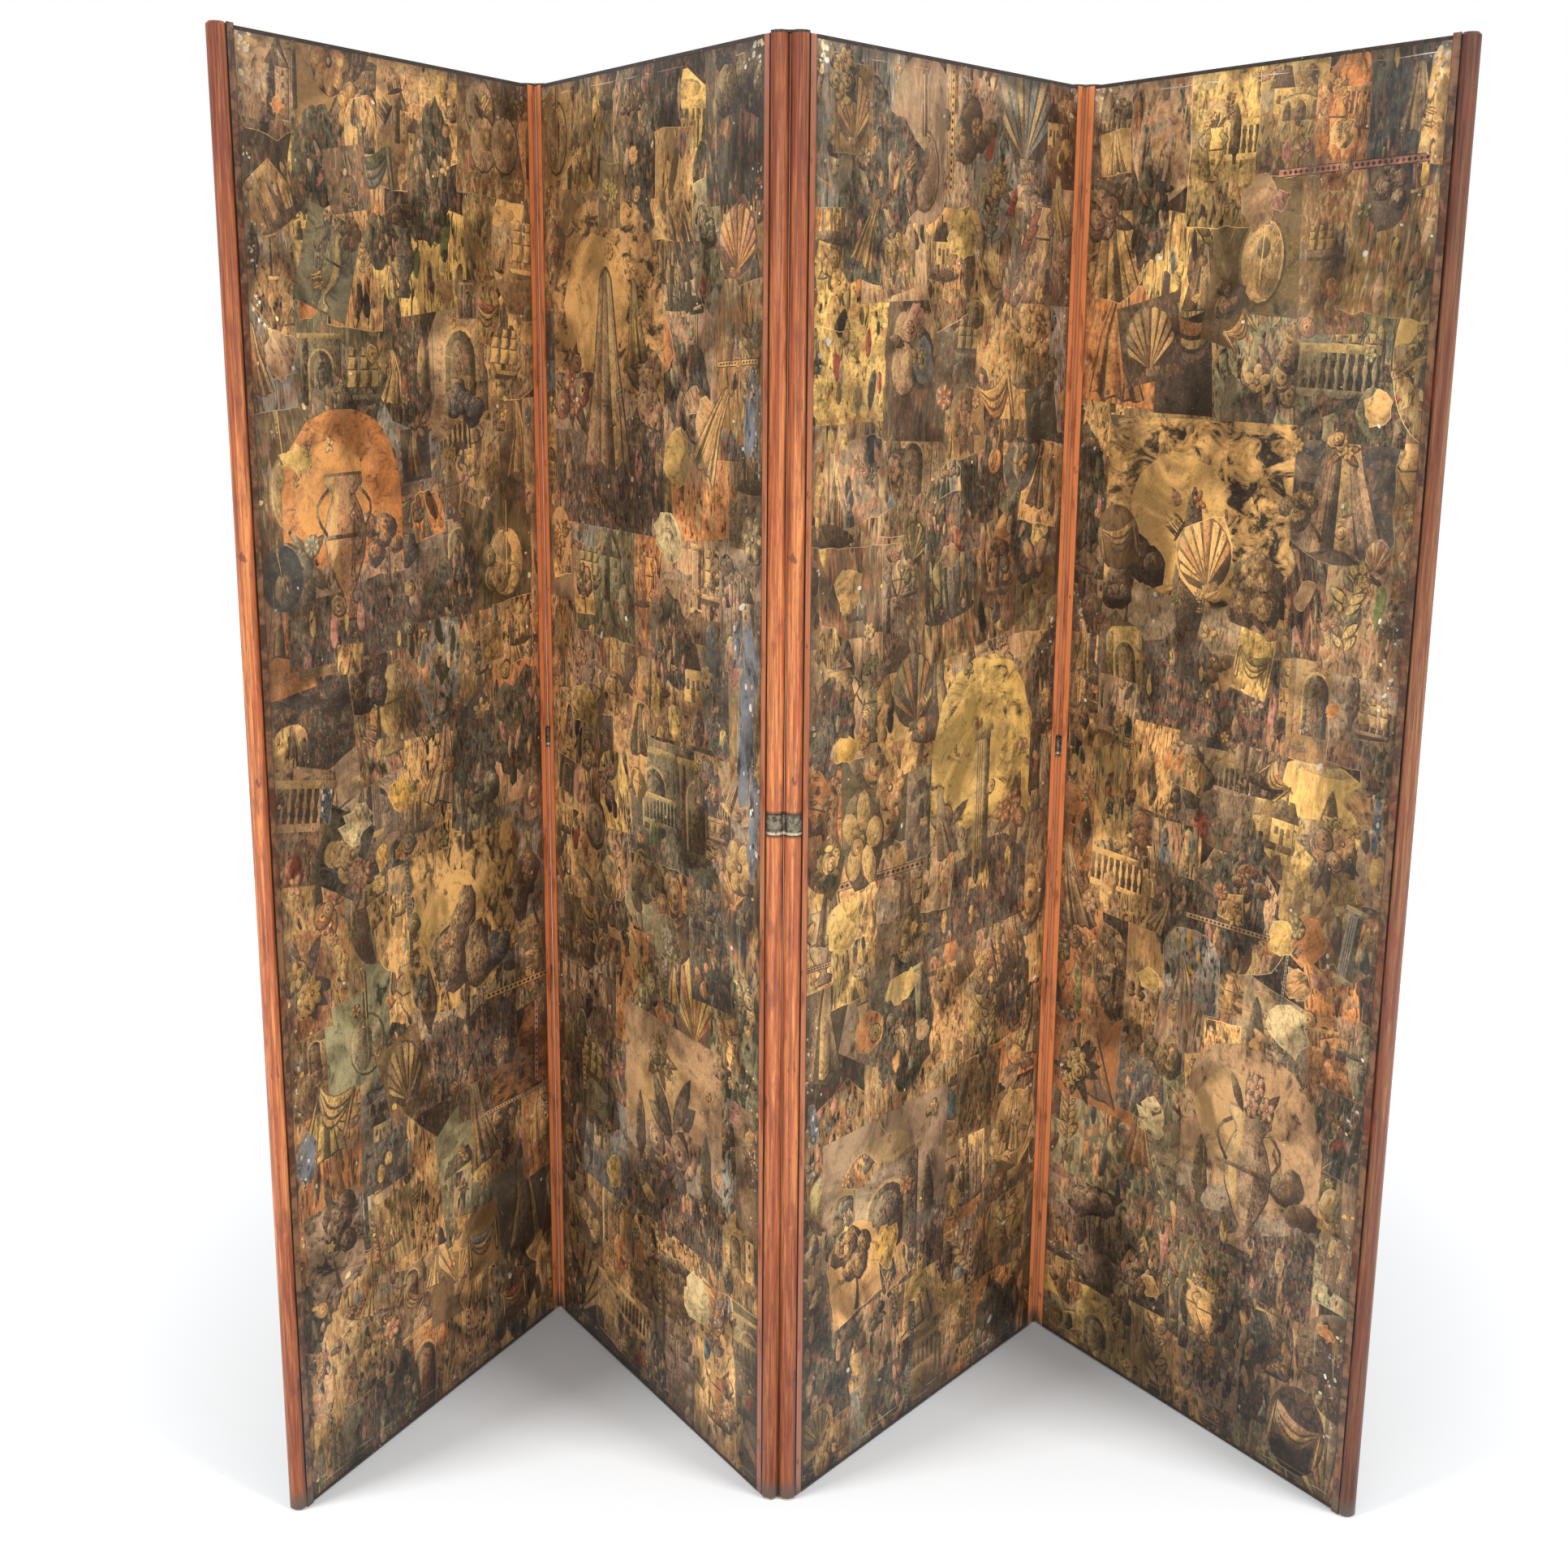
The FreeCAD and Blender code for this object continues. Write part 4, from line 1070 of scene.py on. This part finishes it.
        for key, column in (("paper", 1), ("ink", 2)):
            write(key, "FLOAT_COLOR", "FACE", "color", np.array([(*cut[column], 1.0) for cut in cuts]))
        weights = np.array([(cut[3], cut[4], cut[10]) for cut in cuts])
        write("weight", "FLOAT_VECTOR", "FACE", "vector", weights)
        at = flat[np.concatenate(faces)]
        rows = [(cut[6], cut[7] * cut[8][0], cut[7] * cut[8][1], cut[9]) for cut in cuts]
        turn, wide, tall, seed = at_corners(rows).T
        c, s = np.cos(turn), np.sin(turn)
        across, up = at[:, 0] * c + at[:, 1] * s, at[:, 1] * c - at[:, 0] * s
        write("print", "FLOAT_VECTOR", "CORNER", "vector", np.stack([across * wide, up * tall, seed], 1))
        x, z, half, high, volume = at_corners([(*shape_span(cut[0]), cut[11]) for cut in cuts]).T
        around = np.stack([(at[:, 0] - x) / half, (at[:, 1] - z) / high, volume], 1)
        write("round", "FLOAT_VECTOR", "CORNER", "vector", around)
        inset = [CANVAS_HALF - np.abs(flat[:, 0]), flat[:, 1] - CANVAS_FOOT, CANVAS_HEAD - flat[:, 1]]
        write("margin", "FLOAT", "POINT", "value", np.min(inset, 0))


class Cover:
    """Which small cells of a face are already wholly hidden by the scraps laid over them."""

    CELL, SIZE = 0.0015, (400, 1220)
    LEAST = 4   # cells, under which a scrap is too narrow to hide any

    def __init__(self):
        self.full = np.zeros(self.SIZE, bool)

    def hides(self, outlines):
        """For each outline, whether all the cells that its box touches are hidden."""
        if not len(outlines):
            return np.zeros(0, bool)
        low = map_cells(np.array([np.min(outline, 0) for outline in outlines]), self.CELL, self.SIZE)
        high = map_cells(np.array([np.max(outline, 0) for outline in outlines]), self.CELL, self.SIZE)
        (x0, z0), (x1, z1) = low.min(0), high.max(0)
        total = np.zeros((x1 - x0 + 2, z1 - z0 + 2), int)
        total[1:, 1:] = self.full[x0:x1 + 1, z0:z1 + 1].cumsum(0).cumsum(1)
        low, high = low - (x0, z0), high - (x0, z0) + 1
        inside = (total[high[:, 0], high[:, 1]] - total[low[:, 0], high[:, 1]] - total[high[:, 0], low[:, 1]]
                  + total[low[:, 0], low[:, 1]])
        return inside == (high - low).prod(1)

    def add(self, outline):
        """Mark the cells that lie wholly within an outline."""
        ring = (np.array(outline) + MAP_CORNER) / self.CELL
        span = np.array([np.min(outline, 0), np.max(outline, 0)])
        (x0, z0), (x1, z1) = map_cells(span, self.CELL, self.SIZE)
        if x1 - x0 < self.LEAST or z1 - z0 < self.LEAST:
            return
        xs, zs = np.meshgrid(np.arange(x0, x1 + 2), np.arange(z0, z1 + 2), indexing="ij")
        within = np.zeros(xs.shape, bool)
        for (ax, az), (bx, bz) in zip(ring, np.roll(ring, -1, 0)):
            if az != bz:
                within ^= ((az > zs) != (bz > zs)) & (xs < (bx - ax) * (zs - az) / (bz - az) + ax)
        whole = within[:-1, :-1] & within[1:, :-1] & within[:-1, 1:] & within[1:, 1:]
        self.full[x0:x1 + 1, z0:z1 + 1] |= whole[:x1 + 1 - x0, :z1 + 1 - z0]


def pick_alone(thing):
    """Make one piece the only selected one, open in edit mode with all of it selected."""
    bpy.ops.object.select_all(action="DESELECT")
    bpy.context.view_layer.objects.active = thing
    thing.select_set(True)
    bpy.ops.object.mode_set(mode="EDIT")
    bpy.ops.mesh.select_all(action="SELECT")


def drop_loose_points(thing):
    """Remove the points that no face of the piece uses."""
    pick_alone(thing)
    bpy.ops.mesh.delete_loose(use_verts=True, use_edges=True, use_faces=False)
    bpy.ops.object.mode_set(mode="OBJECT")


def varnished_scraps():
    """Old engravings under brown varnish: paper, ink, streaky figures, hatching, stains and cracks."""
    shade = Shade("varnished_scraps")
    paper, ink = shade.attribute("paper")["Color"], shade.attribute("ink")["Color"]
    share, hatch, crowd = shade.parts(shade.attribute("weight")["Vector"])
    spot = shade.attribute("print")["Vector"]
    world = shade.place()

    # plain printing: soft masses of ink, hatching and specks
    stain = shade.noise(spot, 16, 4, 0.62)
    tinted = shade.lay(paper, shade.mix(0.45, paper, srgb(124, 102, 80)), stain, 0.32, 0.68, 0.6)
    cloud = shade.noise(spot, 48, 6, 0.70, 0.9)
    gap = shade.less(cloud, shade.line(share, 0.72, 0.30))
    lines = shade.node("ShaderNodeTexWave", wave_type="BANDS", bands_direction="DIAGONAL", wave_profile="SIN")
    shade.fill(lines, Vector=spot, Scale=230, Distortion=6.0, Detail=2.0, Detail_Scale=0.6)
    strokes = shade.times(shade.ramp(lines.outputs["Fac"], 0.35, 0.8), hatch)
    strokes = shade.times(strokes, shade.ramp(cloud, 0.35, 0.6, 0.1, 0.75))
    plain = shade.lay(tinted, ink, gap, -0.12, 0.03, 0.55)
    plain = shade.mix(shade.times(strokes, 0.65), plain, ink)
    plain = shade.lay(plain, ink, gap, -0.01, 0.05, 0.92)

    # crowded printing: folds, leaves and stems as upright streaks from ink to light
    fold = shade.noise(shade.mapped(spot, Scale=(1.0, 0.34, 1.0)), 118, 5, 0.60, 1.5)
    fold = shade.less(fold, shade.line(share, -0.09, 0.11))
    hue = shade.noise(spot, 64, 3, 0.6)
    body = shade.lay(tinted, srgb(176, 112, 80), hue, 0.50, 0.60, 0.6)
    body = shade.lay(body, srgb(122, 112, 90), hue, 0.46, 0.38, 0.55)
    crowded = shade.lay(ink, shade.mix(0.42, body, ink), fold, 0.40, 0.46)
    crowded = shade.lay(crowded, body, fold, 0.48, 0.53)
    crowded = shade.lay(crowded, shade.mix(0.55, body, srgb(226, 190, 128)), fold, 0.58, 0.66, 0.8)
    drawn = shade.mix(crowd, plain, crowded)

    # each shape is shaded as a round thing, lit from the upper left
    across, up, volume = shade.parts(shade.attribute("round")["Vector"])
    slant = shade.less(shade.times(across, 0.8), shade.times(up, 0.45))
    slant = shade.plus(slant, shade.times(shade.less(cloud, 0.5), 2.2))
    dim = shade.times(shade.ramp(slant, 0.05, 0.75, 0.0, 0.8), volume)
    drawn = shade.mix(dim, drawn, shade.mix(0.75, drawn, ink))
    gleam = shade.times(shade.ramp(slant, -0.25, -0.9, 0.0, 0.55), volume)
    drawn = shade.mix(gleam, drawn, shade.mix(0.6, tinted, srgb(230, 198, 142)))
    speck = shade.noise(spot, 300, 3, 0.75)
    drawn = shade.lay(drawn, shade.mix(0.55, drawn, ink), speck, 0.50, 0.70, 0.5)
    drawn = shade.lay(drawn, shade.mix(0.5, drawn, srgb(214, 178, 124)), speck, 0.44, 0.30, 0.4)

    # varnish: lighter and darker fields, grime in clouds and along the margins, fine cracks
    field = shade.noise(world, 10.0, 4, 0.6, 0.6)
    drawn = shade.tinted(drawn, shade.ramp(field, 0.38, 0.62, 0.62, 1.65))
    grime = shade.noise(world, 3.4, 5, 0.66)
    drawn = shade.lay(drawn, shade.tinted(drawn, srgb(176, 152, 126)), grime, 0.50, 0.72, 0.45)
    bloom = shade.noise(world, 9.0, 5, 0.7)
    drawn = shade.lay(drawn, srgb(140, 128, 112), bloom, 0.54, 0.74, 0.30)
    inset = shade.plus(shade.attribute("margin")["Fac"], shade.times(shade.noise(world, 38, 4, 0.65), 0.05))
    drawn = shade.lay(drawn, srgb(58, 46, 38), inset, 0.046, 0.020, 0.6)
    height = shade.plus(shade.parts(world)[2], shade.times(shade.less(field, 0.5), 0.5))
    drawn = shade.lay(drawn, shade.tinted(drawn, srgb(142, 144, 138)), height, 0.26, 0.02, 0.6)
    cells = shade.node("ShaderNodeTexVoronoi", feature="DISTANCE_TO_EDGE")
    shade.fill(cells, Vector=world, Scale=130)
    cracks = shade.ramp(cells.outputs["Distance"], 0.0, 0.05, 0.3, 0.0)
    drawn = shade.mix(shade.times(cracks, shade.ramp(grime, 0.4, 0.6)), drawn, SOOT)
    relief = shade.plus(shade.times(cloud, 0.6), shade.noise(world, 700, 2, 0.5))
    relief = shade.plus(relief, shade.times(shade.noise(world, 26, 3, 0.6), 2.2))
    gloss = shade.ramp(shade.noise(world, 18, 4, 0.6), 0.3, 0.7, 0.34, 0.60)
    return shade.finish(drawn, gloss, relief, 0.0008, 0.5, Specular_IOR_Level=0.4)


# Wood, binding and metal

def mahogany(number):
    """Polished moulding of one leaf: bright along the nose, with painted shade in the quirks and between
    touching noses, painted light on the valley side, and darker towards the ends.
    """
    shade = Shade(f"mahogany_{number}")
    coords = shade.place(STANDS[number])
    x, y, z = shade.parts(coords)
    across = shade.off(x)
    grain = shade.streaks(coords, (420, 420, 9), 4, 0.6, 0.3)
    figure = shade.streaks(coords, (120, 120, 5.0), 4, 0.6, 0.6)
    pores = shade.streaks(coords, (1500, 1500, 60), 2, 0.5)
    wood = shade.lay(srgb(190, 94, 44), srgb(240, 150, 86), figure, 0.38, 0.62)
    wood = shade.lay(wood, srgb(116, 52, 26), grain, 0.38, 0.70, 0.8)
    wood = shade.lay(wood, srgb(66, 32, 20), pores, 0.56, 0.72, 0.6)
    from_middle = shade.off(z, LEAF_HEIGHT / 2)
    wood = shade.lay(wood, shade.tinted(wood, srgb(150, 122, 118)), from_middle, 0.3, 0.88, 0.75)

    # painted light and shade: the wood is painted brighter on the side of each leaf that faces into a valley,
    # and leaf 4 is painted darker, as shade, along its outer edge at the right of the screen
    inward = shade.math("GREATER_THAN", x if number in (1, 3) else shade.times(x, -1.0), 0.0)
    wood = shade.mix(shade.times(inward, 0.6), wood, srgb(255, 176, 116))
    if number == 4:
        wood = shade.mix(inward, shade.tinted(wood, srgb(176, 188, 206)), wood)

    # the lip, a pinkish tan that is painted brighter as light on the valley side, with scraps pasted over it
    # at the two outer edges of the screen
    rubbed = shade.mix(inward, srgb(190, 126, 100), srgb(250, 158, 100))
    wood = shade.lay(wood, rubbed, across, LIP_EDGE + 0.0004, LIP_EDGE - 0.0004, 0.6)
    if number in (1, 4):
        pasted = shade.ramp(across, LIP_EDGE + 0.0004, LIP_EDGE - 0.0004, 0.0, 0.92)
        scraps = shade.noise(coords, 48, 4, 0.66, 0.6)
        scraps = shade.lay(srgb(58, 47, 40), srgb(138, 102, 72), scraps, 0.38, 0.62)
        wood = shade.mix(shade.times(pasted, shade.line(inward, 1.0, 0.0)), wood, scraps)

    # painted shade in the quirk, lighter on the valley side, and in the crevice where two noses touch,
    # darkest at the ridge; a dark line where the lip meets the canvas
    quirk_shade = shade.times(shade.ramp(across, LIP_EDGE - 0.0009, LIP_EDGE - 0.0001),
                        shade.ramp(across, PIN_OFFSET - 0.0002, PIN_OFFSET - 0.0024))
    quirk_shade = shade.times(quirk_shade, shade.line(inward, 0.95, 0.4))
    joint = shade.ramp(across, CANVAS_HALF + 0.0012, CANVAS_HALF + 0.0003)
    crevice_shade = 0.0
    for side, fold in ((1, number), (-1, number - 1)):
        if 1 <= fold <= len(FOLDS):
            lean = math.radians(FOLDS[fold - 1] / 2)
            reach = shade.times(shade.less(x, side * PIN_OFFSET), side * math.cos(lean))
            reach = shade.plus(reach, shade.times(y, math.sin(lean)))
            touching = shade.ramp(reach, 0.0098, 0.0109, 0.0, 0.9 if fold == RIDGE else 0.2)
            crevice_shade = shade.math("MAXIMUM", crevice_shade, touching)
    quirk_shade_and_joint_line = shade.math("MAXIMUM", quirk_shade, shade.times(joint, 0.75))
    wood = shade.mix(shade.math("MAXIMUM", quirk_shade_and_joint_line, crevice_shade), wood, srgb(36, 22, 18))

    # wear and painted shade: mottling, painted shade by the link, bruises and scuffed feet
    mottle = shade.streaks(coords, (70, 70, 16), 4, 0.62)
    wood = shade.lay(wood, srgb(124, 54, 32), mottle, 0.50, 0.68, 0.6)
    # painted shade on the nose just above and below the link
    link_shade = shade.ramp(shade.off(z, LINK_HEIGHT), 0.0175, 0.0140, 0.0, 0.8)
    link_shade = shade.times(link_shade, shade.ramp(across, PIN_OFFSET - 0.003, PIN_OFFSET - 0.001))
    if number in (1, 4):
        link_shade = shade.times(link_shade, inward)
    wood = shade.mix(link_shade, wood, srgb(58, 32, 24))
    bruise = shade.streaks(coords, (60, 60, 26), 3, 0.6)
    wood = shade.lay(wood, srgb(74, 38, 26), bruise, 0.66, 0.74, 0.7)
    scuff = shade.times(shade.ramp(z, 0.035, 0.004), shade.ramp(bruise, 0.35, 0.55, 0.4, 1.0))
    wood = shade.mix(scuff, wood, srgb(92, 78, 68))
    relief = shade.plus(grain, shade.times(pores, 0.5))
    return shade.finish(wood, shade.ramp(figure, 0.3, 0.7, 0.3, 0.46), relief, 0.0003, 0.35)


def tarnished_metal():
    """Dull brass gone olive-grey, with a painted highlight along its lower rims and painted shade along its
    top.
    """
    shade = Shade("tarnished_metal")
    coords = shade.place()
    patina = shade.noise(coords, 170, 5, 0.7, 0.5)
    colour = shade.lay(srgb(58, 52, 44), srgb(142, 130, 108), patina, 0.38, 0.62)
    scratch = shade.streaks(coords, (300, 300, 2400), 2, 0.5)
    colour = shade.lay(colour, srgb(176, 160, 132), scratch, 0.6, 0.7, 0.5)
    z = shade.parts(coords)[2]
    # painted highlight along the lower rims, broken up by the patina
    rim = shade.times(shade.ramp(z, LINK_HEIGHT - 0.0085, LINK_HEIGHT - 0.0105),
                      shade.ramp(patina, 0.36, 0.52, 0.3, 1.0))
    colour = shade.mix(rim, colour, srgb(206, 188, 158))
    # painted shade along the top of the middle links
    colour = shade.lay(colour, srgb(46, 38, 32), z, LINK_HEIGHT + 0.0095, LINK_HEIGHT + 0.0125, 0.7)
    return shade.finish(colour, shade.ramp(patina, 0.3, 0.7, 0.34, 0.6), patina, 0.0006, 0.6, Metallic=0.45)


def dark_strip():
    """Almost black varnished strip, chipped to the pale paper below."""
    shade = Shade("dark_strip")
    coords = shade.place()
    worn = shade.noise(coords, 90, 4, 0.65)
    colour = shade.lay(srgb(34, 27, 23), srgb(72, 54, 40), worn, 0.35, 0.7)
    colour = shade.lay(colour, srgb(196, 180, 150), shade.noise(coords, 210, 3, 0.6, 0.4), 0.68, 0.72, 0.85)
    return shade.finish(colour, shade.ramp(worn, 0.3, 0.7, 0.35, 0.6), worn, 0.0005, 0.5)


def even_finish(name, stretch, noise, tones, gloss, depth, strength, **sockets):
    """A plain stuff whose fine streaks run from one tone to another."""
    shade = Shade(name)
    streak = shade.streaks(shade.place(), stretch, *noise)
    colour = shade.lay(*tones, streak, 0.3, 0.7)
    return shade.finish(colour, shade.ramp(streak, 0.3, 0.7, *gloss), streak, depth, strength, **sockets)


def plain_softwood():
    return even_finish("plain_softwood", (90, 90, 6), (4, 0.55, 0.8),
                       (srgb(206, 172, 122), srgb(176, 132, 84)), (0.6, 0.75), 0.0004, 0.4)


def pin_steel():
    return even_finish("pin_steel", (200, 200, 3000), (2, 0.5),
                       (srgb(140, 138, 134), srgb(182, 180, 176)), (0.25, 0.4), 0.0002, 0.3, Metallic=0.95)


def grey_lining():
    """The primed cloth under the paper."""
    return even_finish("grey_lining", (900, 900, 900), (2, 0.5), (LINING, SLATE), (0.7, 0.9), 0.0003, 0.5)


def dress_nodes(metal):
    """A finish on each node of the frame."""
    finishes = {"_binding": dark_strip(), "_plates": metal, "_link": metal, "_pins": pin_steel()}
    mouldings = {f"leaf_{number}": mahogany(number) for number in LEAVES}
    wood = plain_softwood()
    for name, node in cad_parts.items():
        finish = next((finishes[end] for end in finishes if name.endswith(end)), wood)
        if name.endswith("_moulding"):
            finish = mouldings[name[:len("leaf_1")]]
        node.data.materials.clear()
        node.data.materials.append(finish)


def round_the_links(metal):
    """The worn links at mid-height, each its node's own form with the edges rubbed round."""
    for joint in ("12", "23", "34"):
        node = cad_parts[f"hinge_{joint}_middle_link"]
        link = bpy.data.objects.new(f"hinge_{joint}_worn_link", node.data.copy())
        bpy.context.scene.collection.objects.link(link)
        pick_alone(link)
        bpy.ops.mesh.remove_doubles(threshold=0.00001)
        bpy.ops.mesh.normals_make_consistent(inside=False)
        bpy.ops.object.mode_set(mode="OBJECT")
        edge = link.modifiers.new("rubbed_edges", "BEVEL")
        edge.width, edge.segments, edge.angle_limit = 0.0011, 3, math.radians(40)
        bpy.ops.object.modifier_apply(modifier=edge.name)
        link.data.materials.clear()
        link.data.materials.append(metal)
        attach(link, f"hinge_{joint}")
        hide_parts(node.name)


def stretched_cloth(name, stand, back, finish):
    """The canvas itself, tacked over the frame and turned in under the lips and bindings."""
    bpy.ops.object.select_all(action="DESELECT")
    bpy.ops.mesh.primitive_grid_add(x_subdivisions=14, y_subdivisions=44, size=1)
    cloth = bpy.context.object
    cloth.name = name
    high = CANVAS_HEAD - CANVAS_FOOT
    lie = Matrix.Translation((0, -CANVAS_FACE, CANVAS_FOOT + high / 2)) @ Matrix.Rotation(math.pi / 2, 4, "X")
    cloth.data.transform(lie @ Matrix.Diagonal((2 * CANVAS_HALF, high, 1, 1)))
    wall = cloth.modifiers.new("cloth_thickness", "SOLIDIFY")
    wall.thickness, wall.offset = 0.0007, -1.0
    bpy.ops.object.modifier_apply(modifier=wall.name)
    cloth.data.transform(stand @ Matrix.Rotation(math.pi if back else 0.0, 4, "Z"))
    cloth.data.materials.append(finish)
    return cloth


# The few large prints of each front, as (x, z, width, height, motif, shape, paper, ink), and the places
# where its paper is lost, as (x, z, width, height), from the middle of the leaf and the floor
FEATURES = {1: ((0.08, 0.62, 0.24, 0.36, tree, "plain", AMBER, UMBER),
                (-0.13, 1.22, 0.22, 0.3, urn, "arched", ORANGE, SOOT)),
            2: ((-0.1, 1.42, 0.3, 0.42, draped_cloth, "arched", OCHRE, UMBER),
                (0.06, 0.42, 0.26, 0.3, nosegay, "plain", TAN, SLATE)),
            3: ((0.1, 0.86, 0.24, 0.38, column, "arched", STRAW, UMBER),
                (-0.1, 0.34, 0.28, 0.26, archway, "plain", DUN, SOOT)),
            4: ((-0.06, 1.16, 0.32, 0.4, poplar, "plain", AMBER, SOOT),
                (0.1, 0.4, 0.24, 0.34, urn, "arched", TAN, UMBER))}
LOSSES = {1: ((-0.255, 0.46, 0.04, 0.08), (-0.19, 0.9, 0.026, 0.04)),
          2: ((0.258, 1.36, 0.034, 0.10), (0.248, 1.02, 0.046, 0.19), (0.258, 0.88, 0.03, 0.1),
              (0.225, 1.1, 0.02, 0.06)),
          3: ((-0.262, 0.5, 0.02, 0.05),),
          4: ((0.26, 0.9, 0.014, 0.08),)}


def pasted_face(number, back):
    """The scraps of one face of a leaf, laid in order."""
    collage = Collage(number * 10 + back)
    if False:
        collage.cover(5, 4, 4)
    elif back:
        collage.cover(13, 40, 40)
    else:
        collage.cover(13, 70, 90, FEATURES[number])
    if not back:
        for place in LOSSES[number]:
            collage.loss(*place)
    collage.wear()
    return collage


def paper_the_leaves():
    """The papered cloth of every leaf, front and back."""
    finish, lining = varnished_scraps(), grey_lining()
    for number in LEAVES:
        for back in (False, True):
            side = "back" if back else "front"
            stand, node = STANDS[number], f"leaf_{number}_{side}_canvas"
            collage = pasted_face(number, back)
            cloth = stretched_cloth(f"leaf_{number}_{side}_cloth", stand, back, lining)
            scraps = collage.mesh(f"leaf_{number}_{side}_scraps", stand, back)
            scraps.data.materials.append(finish)
            for piece in (cloth, scraps):
                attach(piece, f"leaf_{number}")
                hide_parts(node)
            print(scraps.name, len(collage.scraps), "scraps", len(scraps.data.polygons), "faces")


set_camera()
set_studio()
METAL = tarnished_metal()
dress_nodes(METAL)
round_the_links(METAL)
paper_the_leaves()
bpy.context.view_layer.update()
